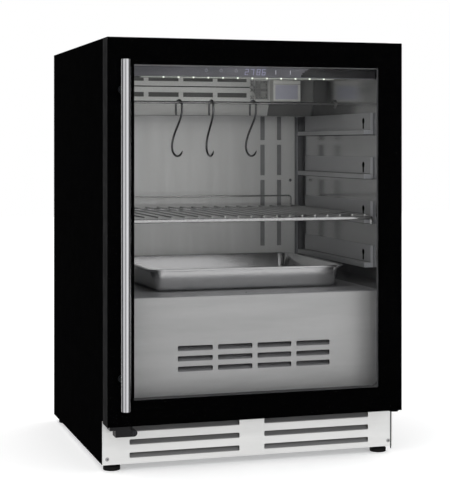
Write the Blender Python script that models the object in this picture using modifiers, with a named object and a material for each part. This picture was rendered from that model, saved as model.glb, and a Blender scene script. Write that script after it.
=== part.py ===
"""Dry aging cabinet: an under-counter refrigerated cabinet with a glazed, hinged door.

X runs to the right, Y to the back and Z up, in metres. Heights are measured from the floor, and
depths in this file from the door's front face. The origin is under the middle of the whole object,
so every depth is shifted by ORIGIN_DEPTH when a piece is placed.
"""

import math

import bmesh
import bpy
from mathutils import Matrix, Vector

# Overall sizes
CABINET_WIDTH = 0.595
CABINET_HEIGHT = 0.820
CABINET_DEPTH = 0.573
CABINET_BOTTOM = 0.013
SIDE_WALL = 0.0265
ROOF_WALL = 0.048
REAR_WALL = 0.043

# Sheets, seats and cuts
SHEET = 0.001
PANEL_SHEET = 0.0012
SEAT = 0.0003
OVERRUN = 0.010
ALONG_AXIS_SHARE = 0.9

# Door
DOOR_BOTTOM = 0.093
DOOR_THICKNESS = 0.045
DOOR_GAP = 0.005
HALF_WIDTH = CABINET_WIDTH / 2
CABINET_FRONT = DOOR_THICKNESS + DOOR_GAP
GLASS_THICKNESS = 0.004
DOOR_SIDE_BORDER = 0.032
DOOR_TOP_BORDER = 0.048
DOOR_BOTTOM_BORDER = 0.0405
INNER_PANE_RECESS = 0.007
SPACER_WIDTH = 0.003
GASKET_WIDTH = 0.014
GASKET_MARGIN = 0.001

# Handle
HANDLE_DIAMETER = 0.018
HANDLE_CENTRE_INSET = 0.02575
HANDLE_CENTRE_REACH = 0.039
HANDLE_BOTTOM_INSET = 0.0365
HANDLE_TOP_INSET = 0.0435
HANDLE_BOTTOM = DOOR_BOTTOM + HANDLE_BOTTOM_INSET
HANDLE_TOP = CABINET_HEIGHT - HANDLE_TOP_INSET
POST_DIAMETER = 0.014
POST_INSET = 0.055

# Door hinge
HINGE_INSET = 0.0095
HINGE_DEPTH = 0.022
HINGE_PIN_RADIUS = 0.004
HINGE_PIN_LENGTH = 0.015
HINGE_PIN_CLEARANCE = 0.0003
BRACKET_NOSE_RADIUS = 0.009
BRACKET_THICKNESS = 0.004
BRACKET_LEG_THICKNESS = 0.0025
BRACKET_LEG_WIDTH = 0.027
UPPER_LEG_HEIGHT = 0.019
LOWER_LEG_HEIGHT = 0.016
HINGE_NOTCH_WIDTH = 0.0305
HINGE_NOTCH_HEIGHT = 0.0082

# Door lock, which hangs under the door's lower corner
LOCK_FRONT = 0.008
LOCK_BACK = 0.034
LOCK_BOTTOM = 0.073
LOCK_PLATE_INSET = 0.0055
LOCK_PLATE_WIDTH = 0.011
LOCK_PLATE_HEIGHT = 0.0067
LOCK_BLOCK_WIDTH = 0.029
BARREL_RADIUS = 0.0046
BARREL_WALL = 0.0018
BARREL_CLEARANCE = 0.0003
BARREL_PROUD = 0.0004
CAM_GAP = 0.0005
CAM_THICKNESS = 0.0025
CAM_HALF_WIDTH = 0.0035
CAM_REACH = 0.012
CATCH_LIP_GAP = 0.0015
CATCH_THICKNESS = 0.0025
CATCH_OVERLAP = 0.003
CATCH_CLEARANCE = 0.004
CATCH_BASE_WIDTH = 0.0165
CATCH_BASE_THICKNESS = 0.0012
CATCH_HEIGHT = 0.013

# Storage space and insulation
INNER_HALF_WIDTH = HALF_WIDTH - SIDE_WALL
OPENING_BOTTOM = 0.128
CEILING = CABINET_HEIGHT - ROOF_WALL
OPENING_CORNER = 0.012
LINER_BACK = CABINET_DEPTH - REAR_WALL
MACHINE_ROOM_DEPTH = 0.343
STEP_DEPTH = CABINET_DEPTH - MACHINE_ROOM_DEPTH
STEP_HEIGHT = 0.326
BASE_FOAM_BOTTOM = 0.100
STEP_FOAM_WALL = 0.031
STEP_FOAM_ROOF = 0.0304

# Plinth grille
PLINTH_TOP = 0.097
PLINTH_FLANGE = 0.012
PLINTH_SLOT_HEIGHT = 0.0102
PLINTH_SLOT_OFFSET = 0.0255
PLINTH_SLOT_MARGIN = 0.053
PLINTH_SLOT_FIRST = 0.029
PLINTH_SLOT_PITCH = 0.025
PLINTH_SLOT_ROWS = 3
PLINTH_SLOT_CORNER = 0.002

# Lower cover with louvres
COVER_SETBACK = 0.0025
COVER_DEPTH = CABINET_FRONT + COVER_SETBACK
COVER_FLANGE = 0.015
LOUVRE_LENGTH = 0.070
LOUVRE_HEIGHT = 0.010
LOUVRE_PITCH_X = 0.0807
LOUVRE_PITCH_Z = 0.0199
LOUVRE_FIRST_HEIGHT = 0.1873
LOUVRE_COLUMNS = 4
LOUVRE_ROWS = 3
LOUVRE_SHIFT = 0.007
LOUVRE_CORNER = 0.002

# Floor and rear duct
FLOOR_SHEET = 0.0015
DUCT_SPACE = 0.015
DUCT_SIDE_GAP = 0.0143
DUCT_DEPTH = LINER_BACK - DUCT_SPACE
DUCT_HALF_WIDTH = INNER_HALF_WIDTH - DUCT_SIDE_GAP
DUCT_SLOT_WIDTH = 0.0105
DUCT_SLOT_LENGTH = 0.0705
DUCT_SLOT_PITCH = 0.0813
DUCT_SLOT_RISE = 0.060
DUCT_SLOT_FIRST = STEP_HEIGHT + DUCT_SLOT_RISE
DUCT_COLUMN_INSET = 0.0382
DUCT_COLUMN_SPACING = 0.0405

# Evaporator unit under the ceiling
UNIT_LENGTH = 0.100
UNIT_HEIGHT = 0.0875
UNIT_SLOPE_DEPTH = 0.015
UNIT_SLOPE_HEIGHT = 0.0301
UNIT_DEPTH = LINER_BACK - UNIT_LENGTH
UNIT_LIP_DEPTH = UNIT_DEPTH + UNIT_SLOPE_DEPTH
UNIT_BOTTOM = CEILING - UNIT_HEIGHT
UNIT_LIP_TOP = UNIT_BOTTOM + UNIT_SLOPE_HEIGHT
UNIT_SLOT_LENGTH = 0.0684
UNIT_SLOT_HEIGHT = 0.010
UNIT_SLOT_PITCH = 0.0788
UNIT_SLOT_MARGIN = 0.0783
UNIT_SLOT_LOW_DROP = 0.0424
UNIT_SLOT_HIGH_DROP = 0.0079
MESH_INSET = 0.129
MESH_DROP = 0.030
MESH_CENTRE_X = INNER_HALF_WIDTH - MESH_INSET
MESH_CENTRE_HEIGHT = CEILING - MESH_DROP
MESH_HOLE = 0.0036
MESH_PITCH = 0.0058
MESH_HOLES_EACH_WAY = 7
EVAPORATOR_SIDE_GAP = 0.015
EVAPORATOR_FAN_GAP = 0.025
EVAPORATOR_DEPTH = 0.060
EVAPORATOR_HEIGHT = 0.072
EVAPORATOR_MARGIN = 0.004
SENSOR_BOX_INSET = 0.0398
SENSOR_BOX_WIDTH = 0.065
SENSOR_BOX_DEPTH = 0.025
SENSOR_BOX_DROP = 0.0084
SENSOR_BOX_HEIGHT = 0.0473
SENSOR_BOX_CORNER = 0.002

# Control panel and light
FASCIA_SETBACK = 0.020
FASCIA_THICKNESS = 0.025
FASCIA_HEIGHT = 0.0197
FASCIA_SIDE_GAP = 0.003
LIGHT_SIDE_GAP = 0.056
LIGHT_DEPTH = 0.009
LIGHT_HEIGHT = 0.0025
LIGHT_SETBACK = 0.015

# Shelf runners
RUNNER_SETBACK = 0.0365
RUNNER_REAR_GAP = 0.052
RUNNER_FRONT = CABINET_FRONT + RUNNER_SETBACK
RUNNER_BACK = LINER_BACK - RUNNER_REAR_GAP
RUNNER_HEIGHT = 0.044
RUNNER_STANDOFF = 0.002
RUNNER_LEDGE_WIDTH = 0.018
RUNNER_LEDGE_HEIGHT = 0.009
RUNNER_RISE = 0.044
RUNNER_FIRST = STEP_HEIGHT + RUNNER_RISE
RUNNER_PITCH = 0.090
KEYHOLE_SETBACK = 0.047
KEYHOLE_RADIUS = 0.0065
KEYHOLE_HEIGHT = 0.028
KEYHOLE_SLOT_WIDTH = 0.0075
KEYHOLE_SLOT_LENGTH = 0.016

# Wire shelf
SHELF_SETBACK = 0.007
SHELF_REAR_GAP = 0.046
SHELF_SIDE_GAP = 0.013
SHELF_FRONT = CABINET_FRONT + SHELF_SETBACK
SHELF_BACK = LINER_BACK - SHELF_REAR_GAP
SHELF_HALF_WIDTH = INNER_HALF_WIDTH - SHELF_SIDE_GAP
SHELF_FRAME_RADIUS = 0.004
SHELF_GUARD_RADIUS = 0.002
SHELF_WIRE_RADIUS = 0.00175
SHELF_WIRE_PITCH = 0.0266
SHELF_WELD = 0.001
SHELF_END_GAP = 0.012
SHELF_END_DROP = 0.012
SHELF_CORNER = 0.006
SHELF_GUARD_HEIGHT = 0.030
SHELF_GUARD_INSET = 0.022
SHELF_HEADROOM = 0.080

# Tray
TRAY_SETBACK = 0.072
TRAY_REAR_GAP = 0.045
TRAY_LEFT_GAP = 0.083
TRAY_RIGHT_GAP = 0.042
TRAY_FRONT = CABINET_FRONT + TRAY_SETBACK
TRAY_BACK = LINER_BACK - TRAY_REAR_GAP
TRAY_LEFT = TRAY_LEFT_GAP - INNER_HALF_WIDTH
TRAY_RIGHT = INNER_HALF_WIDTH - TRAY_RIGHT_GAP
TRAY_HEIGHT = 0.0445
TRAY_RIM = 0.008
TRAY_RIM_DROP = 0.004
TRAY_CORNER = 0.030
TRAY_TAPER = 0.010
TRAY_BASE_ROUND = 0.008
TRAY_SHEET = 0.0008

# Hanging rail and hooks
RAIL_RADIUS = 0.0025
RAIL_UNIT_GAP = 0.130
RAIL_DROP = 0.064
RAIL_DEPTH = UNIT_DEPTH - RAIL_UNIT_GAP
RAIL_HEIGHT = CEILING - RAIL_DROP
RAIL_FLANGE_RADIUS = 0.009
RAIL_FLANGE_THICKNESS = 0.003
HOOK_WIRE_RADIUS = 0.0023
HOOK_LENGTH = 0.118
HOOK_UPPER_RADIUS = 0.011
HOOK_LOWER_RADIUS = 0.020
HOOK_OFFSET = 0.004
HOOK_LEG = 0.020
HOOK_END_DEGREES = 335.0
HOOK_LEFT_X = -0.080
HOOK_MIDDLE_X = -0.010
HOOK_RIGHT_X = 0.084
HOOK_TURN_DEGREES = 22.0
HOOK_MIDDLE_TURN_DEGREES = 12.0

# Feet
FOOT_INSET = 0.0228
FOOT_FRONT = 0.0714
FOOT_BACK_INSET = 0.030
FOOT_RADIUS = 0.0165
FOOT_PAD_HEIGHT = 0.008
FOOT_NUT_RADIUS = 0.009
FOOT_NUT_HEIGHT = 0.0035
FOOT_STEM_RADIUS = 0.005
FOOT_STEM_LENGTH = 0.032
FOOT_STEM_CLEARANCE = 0.0003
FOOT_POCKET_CLEARANCE = 0.0015
FOOT_POCKET_DEPTH = 0.045
BASE_PAN_SHEET = 0.002

# Machine compartment
COMPRESSOR_INSET = 0.141
COMPRESSOR_REAR_INSET = 0.143
COMPRESSOR_X = INNER_HALF_WIDTH - COMPRESSOR_INSET
COMPRESSOR_Y = CABINET_DEPTH - COMPRESSOR_REAR_INSET
COMPRESSOR_RADIUS = 0.075
COMPRESSOR_HEIGHT = 0.160
COMPRESSOR_DOME = 0.040
COMPRESSOR_SEAM = 0.003
COMPRESSOR_BASE_WIDTH = 0.180
COMPRESSOR_BASE_DEPTH = 0.120
COMPRESSOR_BASE_THICKNESS = 0.006
CONDENSER_INSET = 0.161
CONDENSER_SETBACK = 0.070
CONDENSER_X = CONDENSER_INSET - INNER_HALF_WIDTH
CONDENSER_FRONT = STEP_DEPTH + CONDENSER_SETBACK
CONDENSER_THICKNESS = 0.030
CONDENSER_SIDE = 0.170
FIN_SLOT_WIDTH = 0.004
FIN_PITCH = 0.014
FIN_SLOT_INSET = 0.010
COOLING_FAN_SIDE = 0.150
COOLING_FAN_DEPTH = 0.030
COOLING_FAN_WALL = 0.006
COLD_FAN_SIDE = 0.054
COLD_FAN_DEPTH = 0.018
COLD_FAN_WALL = 0.0025
FAN_TIP_CLEARANCE = 0.0015
FAN_HUB_SHARE = 0.32
FAN_ARM_SHARE = 0.12
FAN_BLADE_SHARE = 0.28
FAN_ROTOR_SHARE = 0.60
FAN_MOTOR_SHARE = 0.75
FAN_BLADE_SHEET_SHARE = 0.05
FAN_BLADE_PITCH_DEGREES = 50.0
FAN_BLADES = 5
REAR_SPLIT = 0.290
REAR_SLOT_OFFSET = 0.030
REAR_SLOT_MARGIN = 0.014
REAR_SLOT_HEIGHT = 0.008
REAR_SLOT_PITCH = 0.022
REAR_SLOT_FIRST = 0.060
REAR_SLOT_ROWS = 9
INLET_INSET = 0.0595
INLET_X = INLET_INSET - HALF_WIDTH
INLET_HEIGHT = 0.150
INLET_WIDTH = 0.028
INLET_TALL = 0.048
INLET_DEPTH = 0.024
INLET_RIM = 0.004
INLET_SOCKET = 0.014

# Smoothness of round shapes
ROUND_STEPS = 24
SMALL_ROUND_STEPS = 16
HOLE_STEPS = 12
TUBE_RESOLUTION = 2
WIRE_RESOLUTION = 1
WIRE_SIDES = 4 + 2 * WIRE_RESOLUTION
WIRE_FLAT_SHARE = math.cos(math.pi / WIRE_SIDES)
CORNER_STEPS = 4
ARC_STEP_DEGREES = 18.0
SHARP_EDGE_DEGREES = 35.0

# Places that follow from the sizes above
ORIGIN_DEPTH = (CABINET_DEPTH - HANDLE_CENTRE_REACH - HANDLE_DIAMETER / 2) / 2
REAR_PANEL_FRONT = CABINET_DEPTH - SHEET
FRAME_FRONT = GLASS_THICKNESS + SEAT
WINDOW_HALF_WIDTH = HALF_WIDTH - DOOR_SIDE_BORDER
WINDOW_BOTTOM = DOOR_BOTTOM + DOOR_BOTTOM_BORDER
WINDOW_TOP = CABINET_HEIGHT - DOOR_TOP_BORDER
INNER_PANE_BACK = DOOR_THICKNESS - INNER_PANE_RECESS
INNER_PANE_FRONT = INNER_PANE_BACK - GLASS_THICKNESS
HINGE_X = HALF_WIDTH - HINGE_INSET
FOAM_FRONT = CABINET_FRONT + SHEET + SEAT
FOAM_BACK = REAR_PANEL_FRONT - SEAT - SEAT
FOAM_INNER_X = INNER_HALF_WIDTH + SHEET + SEAT
FOAM_OUTER_X = HALF_WIDTH - SHEET - SEAT
FOAM_TOP = CABINET_HEIGHT - SHEET - SEAT
PAN_BOTTOM = CABINET_BOTTOM + SEAT
PAN_TOP = PAN_BOTTOM + BASE_PAN_SHEET
FLOOR_BOTTOM = STEP_HEIGHT + SEAT
FLOOR_TOP = FLOOR_BOTTOM + FLOOR_SHEET
COVER_TOP = FLOOR_BOTTOM - SEAT
UNDER_CEILING = CEILING - SEAT
WALL_SEAT_X = INNER_HALF_WIDTH - SEAT
BARREL_X = (
    LOCK_PLATE_INSET + LOCK_PLATE_WIDTH + LOCK_BLOCK_WIDTH + BARREL_RADIUS + BARREL_WALL - HALF_WIDTH
)
BARREL_Z = LOCK_BOTTOM + BARREL_RADIUS + BARREL_WALL

# Finishes: base colour, roughness, metallic
BLACK_PAINT = ((0.010, 0.010, 0.011), 0.35, 0.0)
BLACK_PLASTIC = ((0.014, 0.014, 0.015), 0.50, 0.0)
RUBBER = ((0.012, 0.012, 0.012), 0.75, 0.0)
GLASS = ((0.60, 0.63, 0.64), 0.03, 0.0)
STAINLESS = ((0.52, 0.52, 0.53), 0.28, 1.0)
DARK_STAINLESS = ((0.20, 0.20, 0.21), 0.32, 1.0)
POLISHED = ((0.62, 0.62, 0.63), 0.16, 1.0)
CHROME = ((0.70, 0.70, 0.71), 0.10, 1.0)
ZINC = ((0.42, 0.43, 0.44), 0.45, 1.0)
ALUMINIUM = ((0.60, 0.61, 0.62), 0.35, 1.0)
FOAM = ((0.72, 0.66, 0.45), 0.90, 0.0)
PALE_PLASTIC = ((0.45, 0.45, 0.46), 0.45, 0.0)
GREY_PANEL = ((0.16, 0.16, 0.18), 0.40, 0.6)
LIGHT = ((0.90, 0.92, 0.88), 0.40, 0.0)


def clear_scene():
    for obj in list(bpy.data.objects):
        bpy.data.objects.remove(obj, do_unlink=True)


def new_collection(name):
    collection = bpy.data.collections.new(name)
    bpy.context.scene.collection.children.link(collection)
    return collection


def finish_material(name, finish):
    colour, roughness, metallic = finish
    material = bpy.data.materials.new(name)
    material.use_nodes = True
    shader = material.node_tree.nodes["Principled BSDF"]
    shader.inputs["Base Color"].default_value = (*colour, 1.0)
    shader.inputs["Roughness"].default_value = roughness
    shader.inputs["Metallic"].default_value = metallic
    if finish is GLASS:
        shader.inputs["Transmission Weight"].default_value = 1.0
    return material


def placed(point):
    """A point whose depth is measured from the door's front face, in the object's own frame."""
    return Vector((point[0], point[1] - ORIGIN_DEPTH, point[2]))


def add_object(name, data, origin, finish):
    """An object in the parts collection, or a hidden helper when it has no finish."""
    obj = bpy.data.objects.new(name, data)
    obj.location = origin
    if finish is None:
        CUTTERS.objects.link(obj)
        obj.hide_render = True
        obj.display_type = "WIRE"
    else:
        PARTS.objects.link(obj)
        data.materials.append(finish_material(name, finish))
    return obj


def shade_round(obj):
    obj.data.shade_smooth()
    obj.data.set_sharp_from_angle(angle=math.radians(SHARP_EDGE_DEGREES))


def mesh_object(name, shape, finish):
    """Turns a bmesh, drawn in the object's own frame, into an object with its origin at its middle."""
    low = Vector([min(v.co[i] for v in shape.verts) for i in range(3)])
    high = Vector([max(v.co[i] for v in shape.verts) for i in range(3)])
    middle = (low + high) / 2
    bmesh.ops.translate(shape, verts=shape.verts, vec=-middle)
    mesh = bpy.data.meshes.new(name)
    shape.to_mesh(mesh)
    shape.free()
    return add_object(name, mesh, middle, finish)


def add_box(shape, low, high):
    low = placed(low)
    high = placed(high)
    matrix = Matrix.Translation((low + high) / 2) @ Matrix.Diagonal((*(high - low), 1.0))
    bmesh.ops.create_cube(shape, size=1.0, matrix=matrix)


def add_cylinder(shape, start, direction, length, radius, steps=SMALL_ROUND_STEPS):
    direction = Vector(direction)
    middle = placed(start) + direction * length / 2
    turn = Vector((0.0, 0.0, 1.0)).rotation_difference(direction).to_matrix().to_4x4()
    bmesh.ops.create_cone(
        shape,
        cap_ends=True,
        segments=steps,
        radius1=radius,
        radius2=radius,
        depth=length,
        matrix=Matrix.Translation(middle) @ turn,
    )


def box(name, low, high, finish, corner=0.0):
    """A box between two corners, with its edges rounded when a corner radius is given."""
    shape = bmesh.new()
    add_box(shape, low, high)
    obj = mesh_object(name, shape, finish)
    if corner:
        bevel = obj.modifiers.new("rounding", "BEVEL")
        bevel.width = corner
        bevel.segments = TUBE_RESOLUTION
        bevel.limit_method = "ANGLE"
    return obj


def slot_cutter(name, boxes, corner=0.0):
    """One cutter of several boxes, with the edges that run front to back rounded."""
    shape = bmesh.new()
    for low, high in boxes:
        add_box(shape, low, high)
    if corner:
        edges = []
        for edge in shape.edges:
            run = (edge.verts[0].co - edge.verts[1].co).normalized()
            if abs(run.y) > ALONG_AXIS_SHARE:
                edges.append(edge)
        bmesh.ops.bevel(
            shape,
            geom=edges,
            offset=corner,
            segments=TUBE_RESOLUTION,
            affect="EDGES",
            profile=0.5,
        )
    return mesh_object(name, shape, None)


def cylinder(name, start, direction, length, radius, finish, steps=SMALL_ROUND_STEPS):
    shape = bmesh.new()
    add_cylinder(shape, start, direction, length, radius, steps)
    obj = mesh_object(name, shape, finish)
    if finish is not None:
        shade_round(obj)
    return obj


def combine(body, helper, operation):
    modifier = body.modifiers.new(helper.name, "BOOLEAN")
    modifier.operation = operation
    modifier.solver = "EXACT"
    modifier.object = helper
    return body


def cut(body, helper):
    return combine(body, helper, "DIFFERENCE")


def join(body, helper):
    return combine(body, helper, "UNION")


def as_mesh(name, curve_object, finish):
    """Replaces a curve object by its mesh, with the caps welded to the sides."""
    bpy.context.view_layer.update()
    evaluated = curve_object.evaluated_get(bpy.context.evaluated_depsgraph_get())
    mesh = bpy.data.meshes.new_from_object(evaluated)
    shape = bmesh.new()
    shape.from_mesh(mesh)
    bmesh.ops.remove_doubles(shape, verts=shape.verts, dist=SEAT / 100)
    bmesh.ops.recalc_face_normals(shape, faces=shape.faces)
    shape.transform(curve_object.matrix_world)
    bpy.data.objects.remove(curve_object, do_unlink=True)
    mesh.materials.clear()
    bpy.data.meshes.remove(mesh)
    return mesh_object(name, shape, finish)


def extruded(name, outlines, axis, start, end, finish):
    """A flat outline swept along one axis. The first outline is the edge, and the others are holes.

    Along X the outline's points are (depth, height), along Y (x, height) and along Z (x, depth).
    """
    curve = bpy.data.curves.new(name, "CURVE")
    curve.dimensions = "2D"
    curve.fill_mode = "BOTH"
    curve.extrude = abs(end - start) / 2
    for outline in outlines:
        spline = curve.splines.new("POLY")
        spline.points.add(len(outline) - 1)
        for point, (u, v) in zip(spline.points, outline):
            point.co = (u, v, 0.0, 1.0)
        spline.use_cyclic_u = True
    obj = bpy.data.objects.new(name, curve)
    CUTTERS.objects.link(obj)
    middle = (start + end) / 2
    columns = {
        "X": ((0, 1, 0), (0, 0, 1), (1, 0, 0)),
        "Y": ((1, 0, 0), (0, 0, 1), (0, -1, 0)),
        "Z": ((1, 0, 0), (0, 1, 0), (0, 0, 1)),
    }[axis]
    turn = Matrix(columns).transposed().to_4x4()
    offset = {"X": (middle, 0.0, 0.0), "Y": (0.0, middle, 0.0), "Z": (0.0, 0.0, middle)}[axis]
    obj.matrix_world = Matrix.Translation(placed(offset)) @ turn
    return as_mesh(name, obj, finish)


def rectangle(left, right, low, high):
    return [(left, low), (right, low), (right, high), (left, high)]


def turned(name, profile, centre, direction, finish, steps=ROUND_STEPS):
    """A turned solid. The profile's (radius, height) points run down its outer side from the axis."""
    shape = bmesh.new()
    points = [shape.verts.new((radius, 0.0, height)) for radius, height in profile]
    for first, second in zip(points, points[1:]):
        shape.edges.new((first, second))
    mesh = bpy.data.meshes.new(name)
    shape.to_mesh(mesh)
    shape.free()
    obj = add_object(name, mesh, placed(centre), finish)
    obj.rotation_mode = "QUATERNION"
    obj.rotation_quaternion = Vector((0.0, 0.0, 1.0)).rotation_difference(Vector(direction))
    screw = obj.modifiers.new("turning", "SCREW")
    screw.steps = steps
    screw.render_steps = steps
    screw.use_merge_vertices = True
    screw.merge_threshold = SEAT / 10
    screw.use_smooth_shade = True
    return obj


def tube(name, points, radius, finish, resolution=TUBE_RESOLUTION):
    """A round bar along a list of points."""
    curve = bpy.data.curves.new(name, "CURVE")
    curve.dimensions = "3D"
    curve.bevel_depth = radius
    curve.bevel_resolution = resolution
    curve.use_fill_caps = True
    spline = curve.splines.new("POLY")
    spline.points.add(len(points) - 1)
    for target, point in zip(spline.points, points):
        target.co = (*placed(point), 1.0)
    obj = bpy.data.objects.new(name, curve)
    CUTTERS.objects.link(obj)
    return as_mesh(name, obj, finish)


def arc(centre, radius, start, end):
    """Points along a flat arc between two angles in degrees."""
    count = max(2, round(abs(end - start) / ARC_STEP_DEGREES))
    angles = [math.radians(start + (end - start) * i / count) for i in range(count + 1)]
    return [(centre[0] + radius * math.cos(a), centre[1] + radius * math.sin(a)) for a in angles]


def pivot(name, point, pieces, parent=None):
    """An empty on a joint's axis, which carries the pieces that move about it."""
    empty = bpy.data.objects.new(name, None)
    PARTS.objects.link(empty)
    empty.location = placed(point)
    bpy.context.view_layer.update()
    if parent is not None:
        empty.parent = parent
        empty.matrix_parent_inverse = parent.matrix_world.inverted()
    bpy.context.view_layer.update()
    for piece in pieces:
        piece.parent = empty
        piece.matrix_parent_inverse = empty.matrix_world.inverted()
    return empty


def make_wrapper():
    """The painted outer sheet: two sides, the top and the front face round the opening."""
    shape = bmesh.new()
    add_box(
        shape,
        (-HALF_WIDTH, CABINET_FRONT, CABINET_BOTTOM),
        (HALF_WIDTH, REAR_PANEL_FRONT - SEAT, CABINET_HEIGHT),
    )
    limit = ALONG_AXIS_SHARE
    open_faces = [face for face in shape.faces if face.normal.y > limit or face.normal.z < -limit]
    bmesh.ops.delete(shape, geom=open_faces, context="FACES")
    wrapper = mesh_object("cabinet_wrapper", shape, BLACK_PAINT)
    solidify = wrapper.modifiers.new("sheet", "SOLIDIFY")
    solidify.thickness = SHEET
    solidify.offset = -1.0
    solidify.use_even_offset = True
    opening = slot_cutter(
        "opening_cutter",
        [
            (
                (-INNER_HALF_WIDTH, CABINET_FRONT - OVERRUN, OPENING_BOTTOM),
                (INNER_HALF_WIDTH, CABINET_FRONT + OVERRUN, CEILING),
            )
        ],
        OPENING_CORNER,
    )
    plinth = slot_cutter(
        "plinth_cutter",
        [
            (
                (-HALF_WIDTH - OVERRUN, CABINET_FRONT - OVERRUN, CABINET_BOTTOM - OVERRUN),
                (HALF_WIDTH + OVERRUN, CABINET_FRONT + PANEL_SHEET + SEAT, PLINTH_TOP + SEAT),
            )
        ],
    )
    cut(cut(wrapper, opening), plinth)


def make_liner():
    """The stainless inner tank, stepped up over the machine compartment."""
    outline = [
        (FOAM_FRONT, OPENING_BOTTOM),
        (STEP_DEPTH, OPENING_BOTTOM),
        (STEP_DEPTH, STEP_HEIGHT),
        (LINER_BACK, STEP_HEIGHT),
        (LINER_BACK, CEILING),
        (FOAM_FRONT, CEILING),
    ]
    liner = extruded("liner", [outline], "X", -INNER_HALF_WIDTH, INNER_HALF_WIDTH, POLISHED)
    shape = bmesh.new()
    shape.from_mesh(liner.data)
    front = min(v.co.y for v in shape.verts)
    faces = [face for face in shape.faces if all(abs(v.co.y - front) < SEAT for v in face.verts)]
    bmesh.ops.delete(shape, geom=faces, context="FACES")
    shape.to_mesh(liner.data)
    shape.free()
    solidify = liner.modifiers.new("sheet", "SOLIDIFY")
    solidify.solidify_mode = "NON_MANIFOLD"
    solidify.nonmanifold_thickness_mode = "CONSTRAINTS"
    solidify.thickness = SHEET
    solidify.offset = 1.0


def make_insulation():
    """Foam boards between the painted sheet and the liner."""
    foot_depths = (FOOT_FRONT, CABINET_DEPTH - FOOT_BACK_INSET)
    for side, name in ((-1, "insulation_left"), (1, "insulation_right")):
        inner, outer = sorted((side * FOAM_INNER_X, side * FOAM_OUTER_X))
        board = box(name, (inner, FOAM_FRONT, PAN_TOP + SEAT), (outer, FOAM_BACK, FOAM_TOP), FOAM)
        shape = bmesh.new()
        for depth in foot_depths:
            add_cylinder(
                shape,
                (side * (HALF_WIDTH - FOOT_INSET), depth, PAN_TOP + SEAT - OVERRUN),
                (0, 0, 1),
                FOOT_POCKET_DEPTH + OVERRUN,
                FOOT_STEM_RADIUS + FOOT_POCKET_CLEARANCE,
            )
        cut(board, mesh_object(name + "_pockets", shape, None))
    half = INNER_HALF_WIDTH + SHEET
    top_bottom = CEILING + SHEET + SEAT
    rear_front = LINER_BACK + SHEET + SEAT
    base_top = STEP_HEIGHT - SHEET - SEAT
    roof = base_top - STEP_FOAM_ROOF
    top_and_rear = [
        (FOAM_FRONT, top_bottom),
        (rear_front, top_bottom),
        (rear_front, roof),
        (FOAM_BACK, roof),
        (FOAM_BACK, FOAM_TOP),
        (FOAM_FRONT, FOAM_TOP),
    ]
    extruded("insulation_top_rear", [top_and_rear], "X", -half, half, FOAM)
    step_front = STEP_DEPTH + SHEET + SEAT
    chamber_top = OPENING_BOTTOM - SHEET - SEAT
    base = [
        (FOAM_FRONT, BASE_FOAM_BOTTOM),
        (step_front + STEP_FOAM_WALL, BASE_FOAM_BOTTOM),
        (step_front + STEP_FOAM_WALL, roof),
        (rear_front - SEAT, roof),
        (rear_front - SEAT, base_top),
        (step_front, base_top),
        (step_front, chamber_top),
        (FOAM_FRONT, chamber_top),
    ]
    extruded("insulation_base", [base], "X", -half, half, FOAM)


def make_rear_and_base():
    """The rear sheets and the pan that carries the machine and the feet."""
    box(
        "rear_panel",
        (-HALF_WIDTH, REAR_PANEL_FRONT, REAR_SPLIT + SEAT),
        (HALF_WIDTH, CABINET_DEPTH, CABINET_HEIGHT),
        ZINC,
    )
    grille = box(
        "rear_service_grille",
        (-HALF_WIDTH, REAR_PANEL_FRONT, CABINET_BOTTOM),
        (HALF_WIDTH, CABINET_DEPTH, REAR_SPLIT),
        ZINC,
    )
    slots = []
    behind = CABINET_DEPTH + OVERRUN
    slot_end = -INLET_X - INLET_WIDTH / 2 - REAR_SLOT_MARGIN
    for side in (-1, 1):
        inner, outer = sorted((side * REAR_SLOT_OFFSET, side * slot_end))
        for row in range(REAR_SLOT_ROWS):
            height = REAR_SLOT_FIRST + row * REAR_SLOT_PITCH
            slots.append(
                (
                    (inner, REAR_PANEL_FRONT - OVERRUN, height),
                    (outer, behind, height + REAR_SLOT_HEIGHT),
                )
            )
    slots.append(
        (
            (INLET_X - INLET_WIDTH / 2, REAR_PANEL_FRONT - OVERRUN, INLET_HEIGHT - INLET_TALL / 2),
            (INLET_X + INLET_WIDTH / 2, behind, INLET_HEIGHT + INLET_TALL / 2),
        )
    )
    cut(grille, slot_cutter("rear_grille_slots", slots))
    pan = box(
        "base_pan",
        (-FOAM_OUTER_X, FOAM_FRONT + SEAT, PAN_BOTTOM),
        (FOAM_OUTER_X, FOAM_BACK, PAN_TOP),
        ZINC,
    )
    shape = bmesh.new()
    for x, y in foot_places():
        add_cylinder(
            shape,
            (x, y, PAN_BOTTOM - OVERRUN),
            (0, 0, 1),
            BASE_PAN_SHEET + OVERRUN + OVERRUN,
            FOOT_STEM_RADIUS + FOOT_STEM_CLEARANCE,
        )
    cut(pan, mesh_object("base_pan_holes", shape, None))


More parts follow.
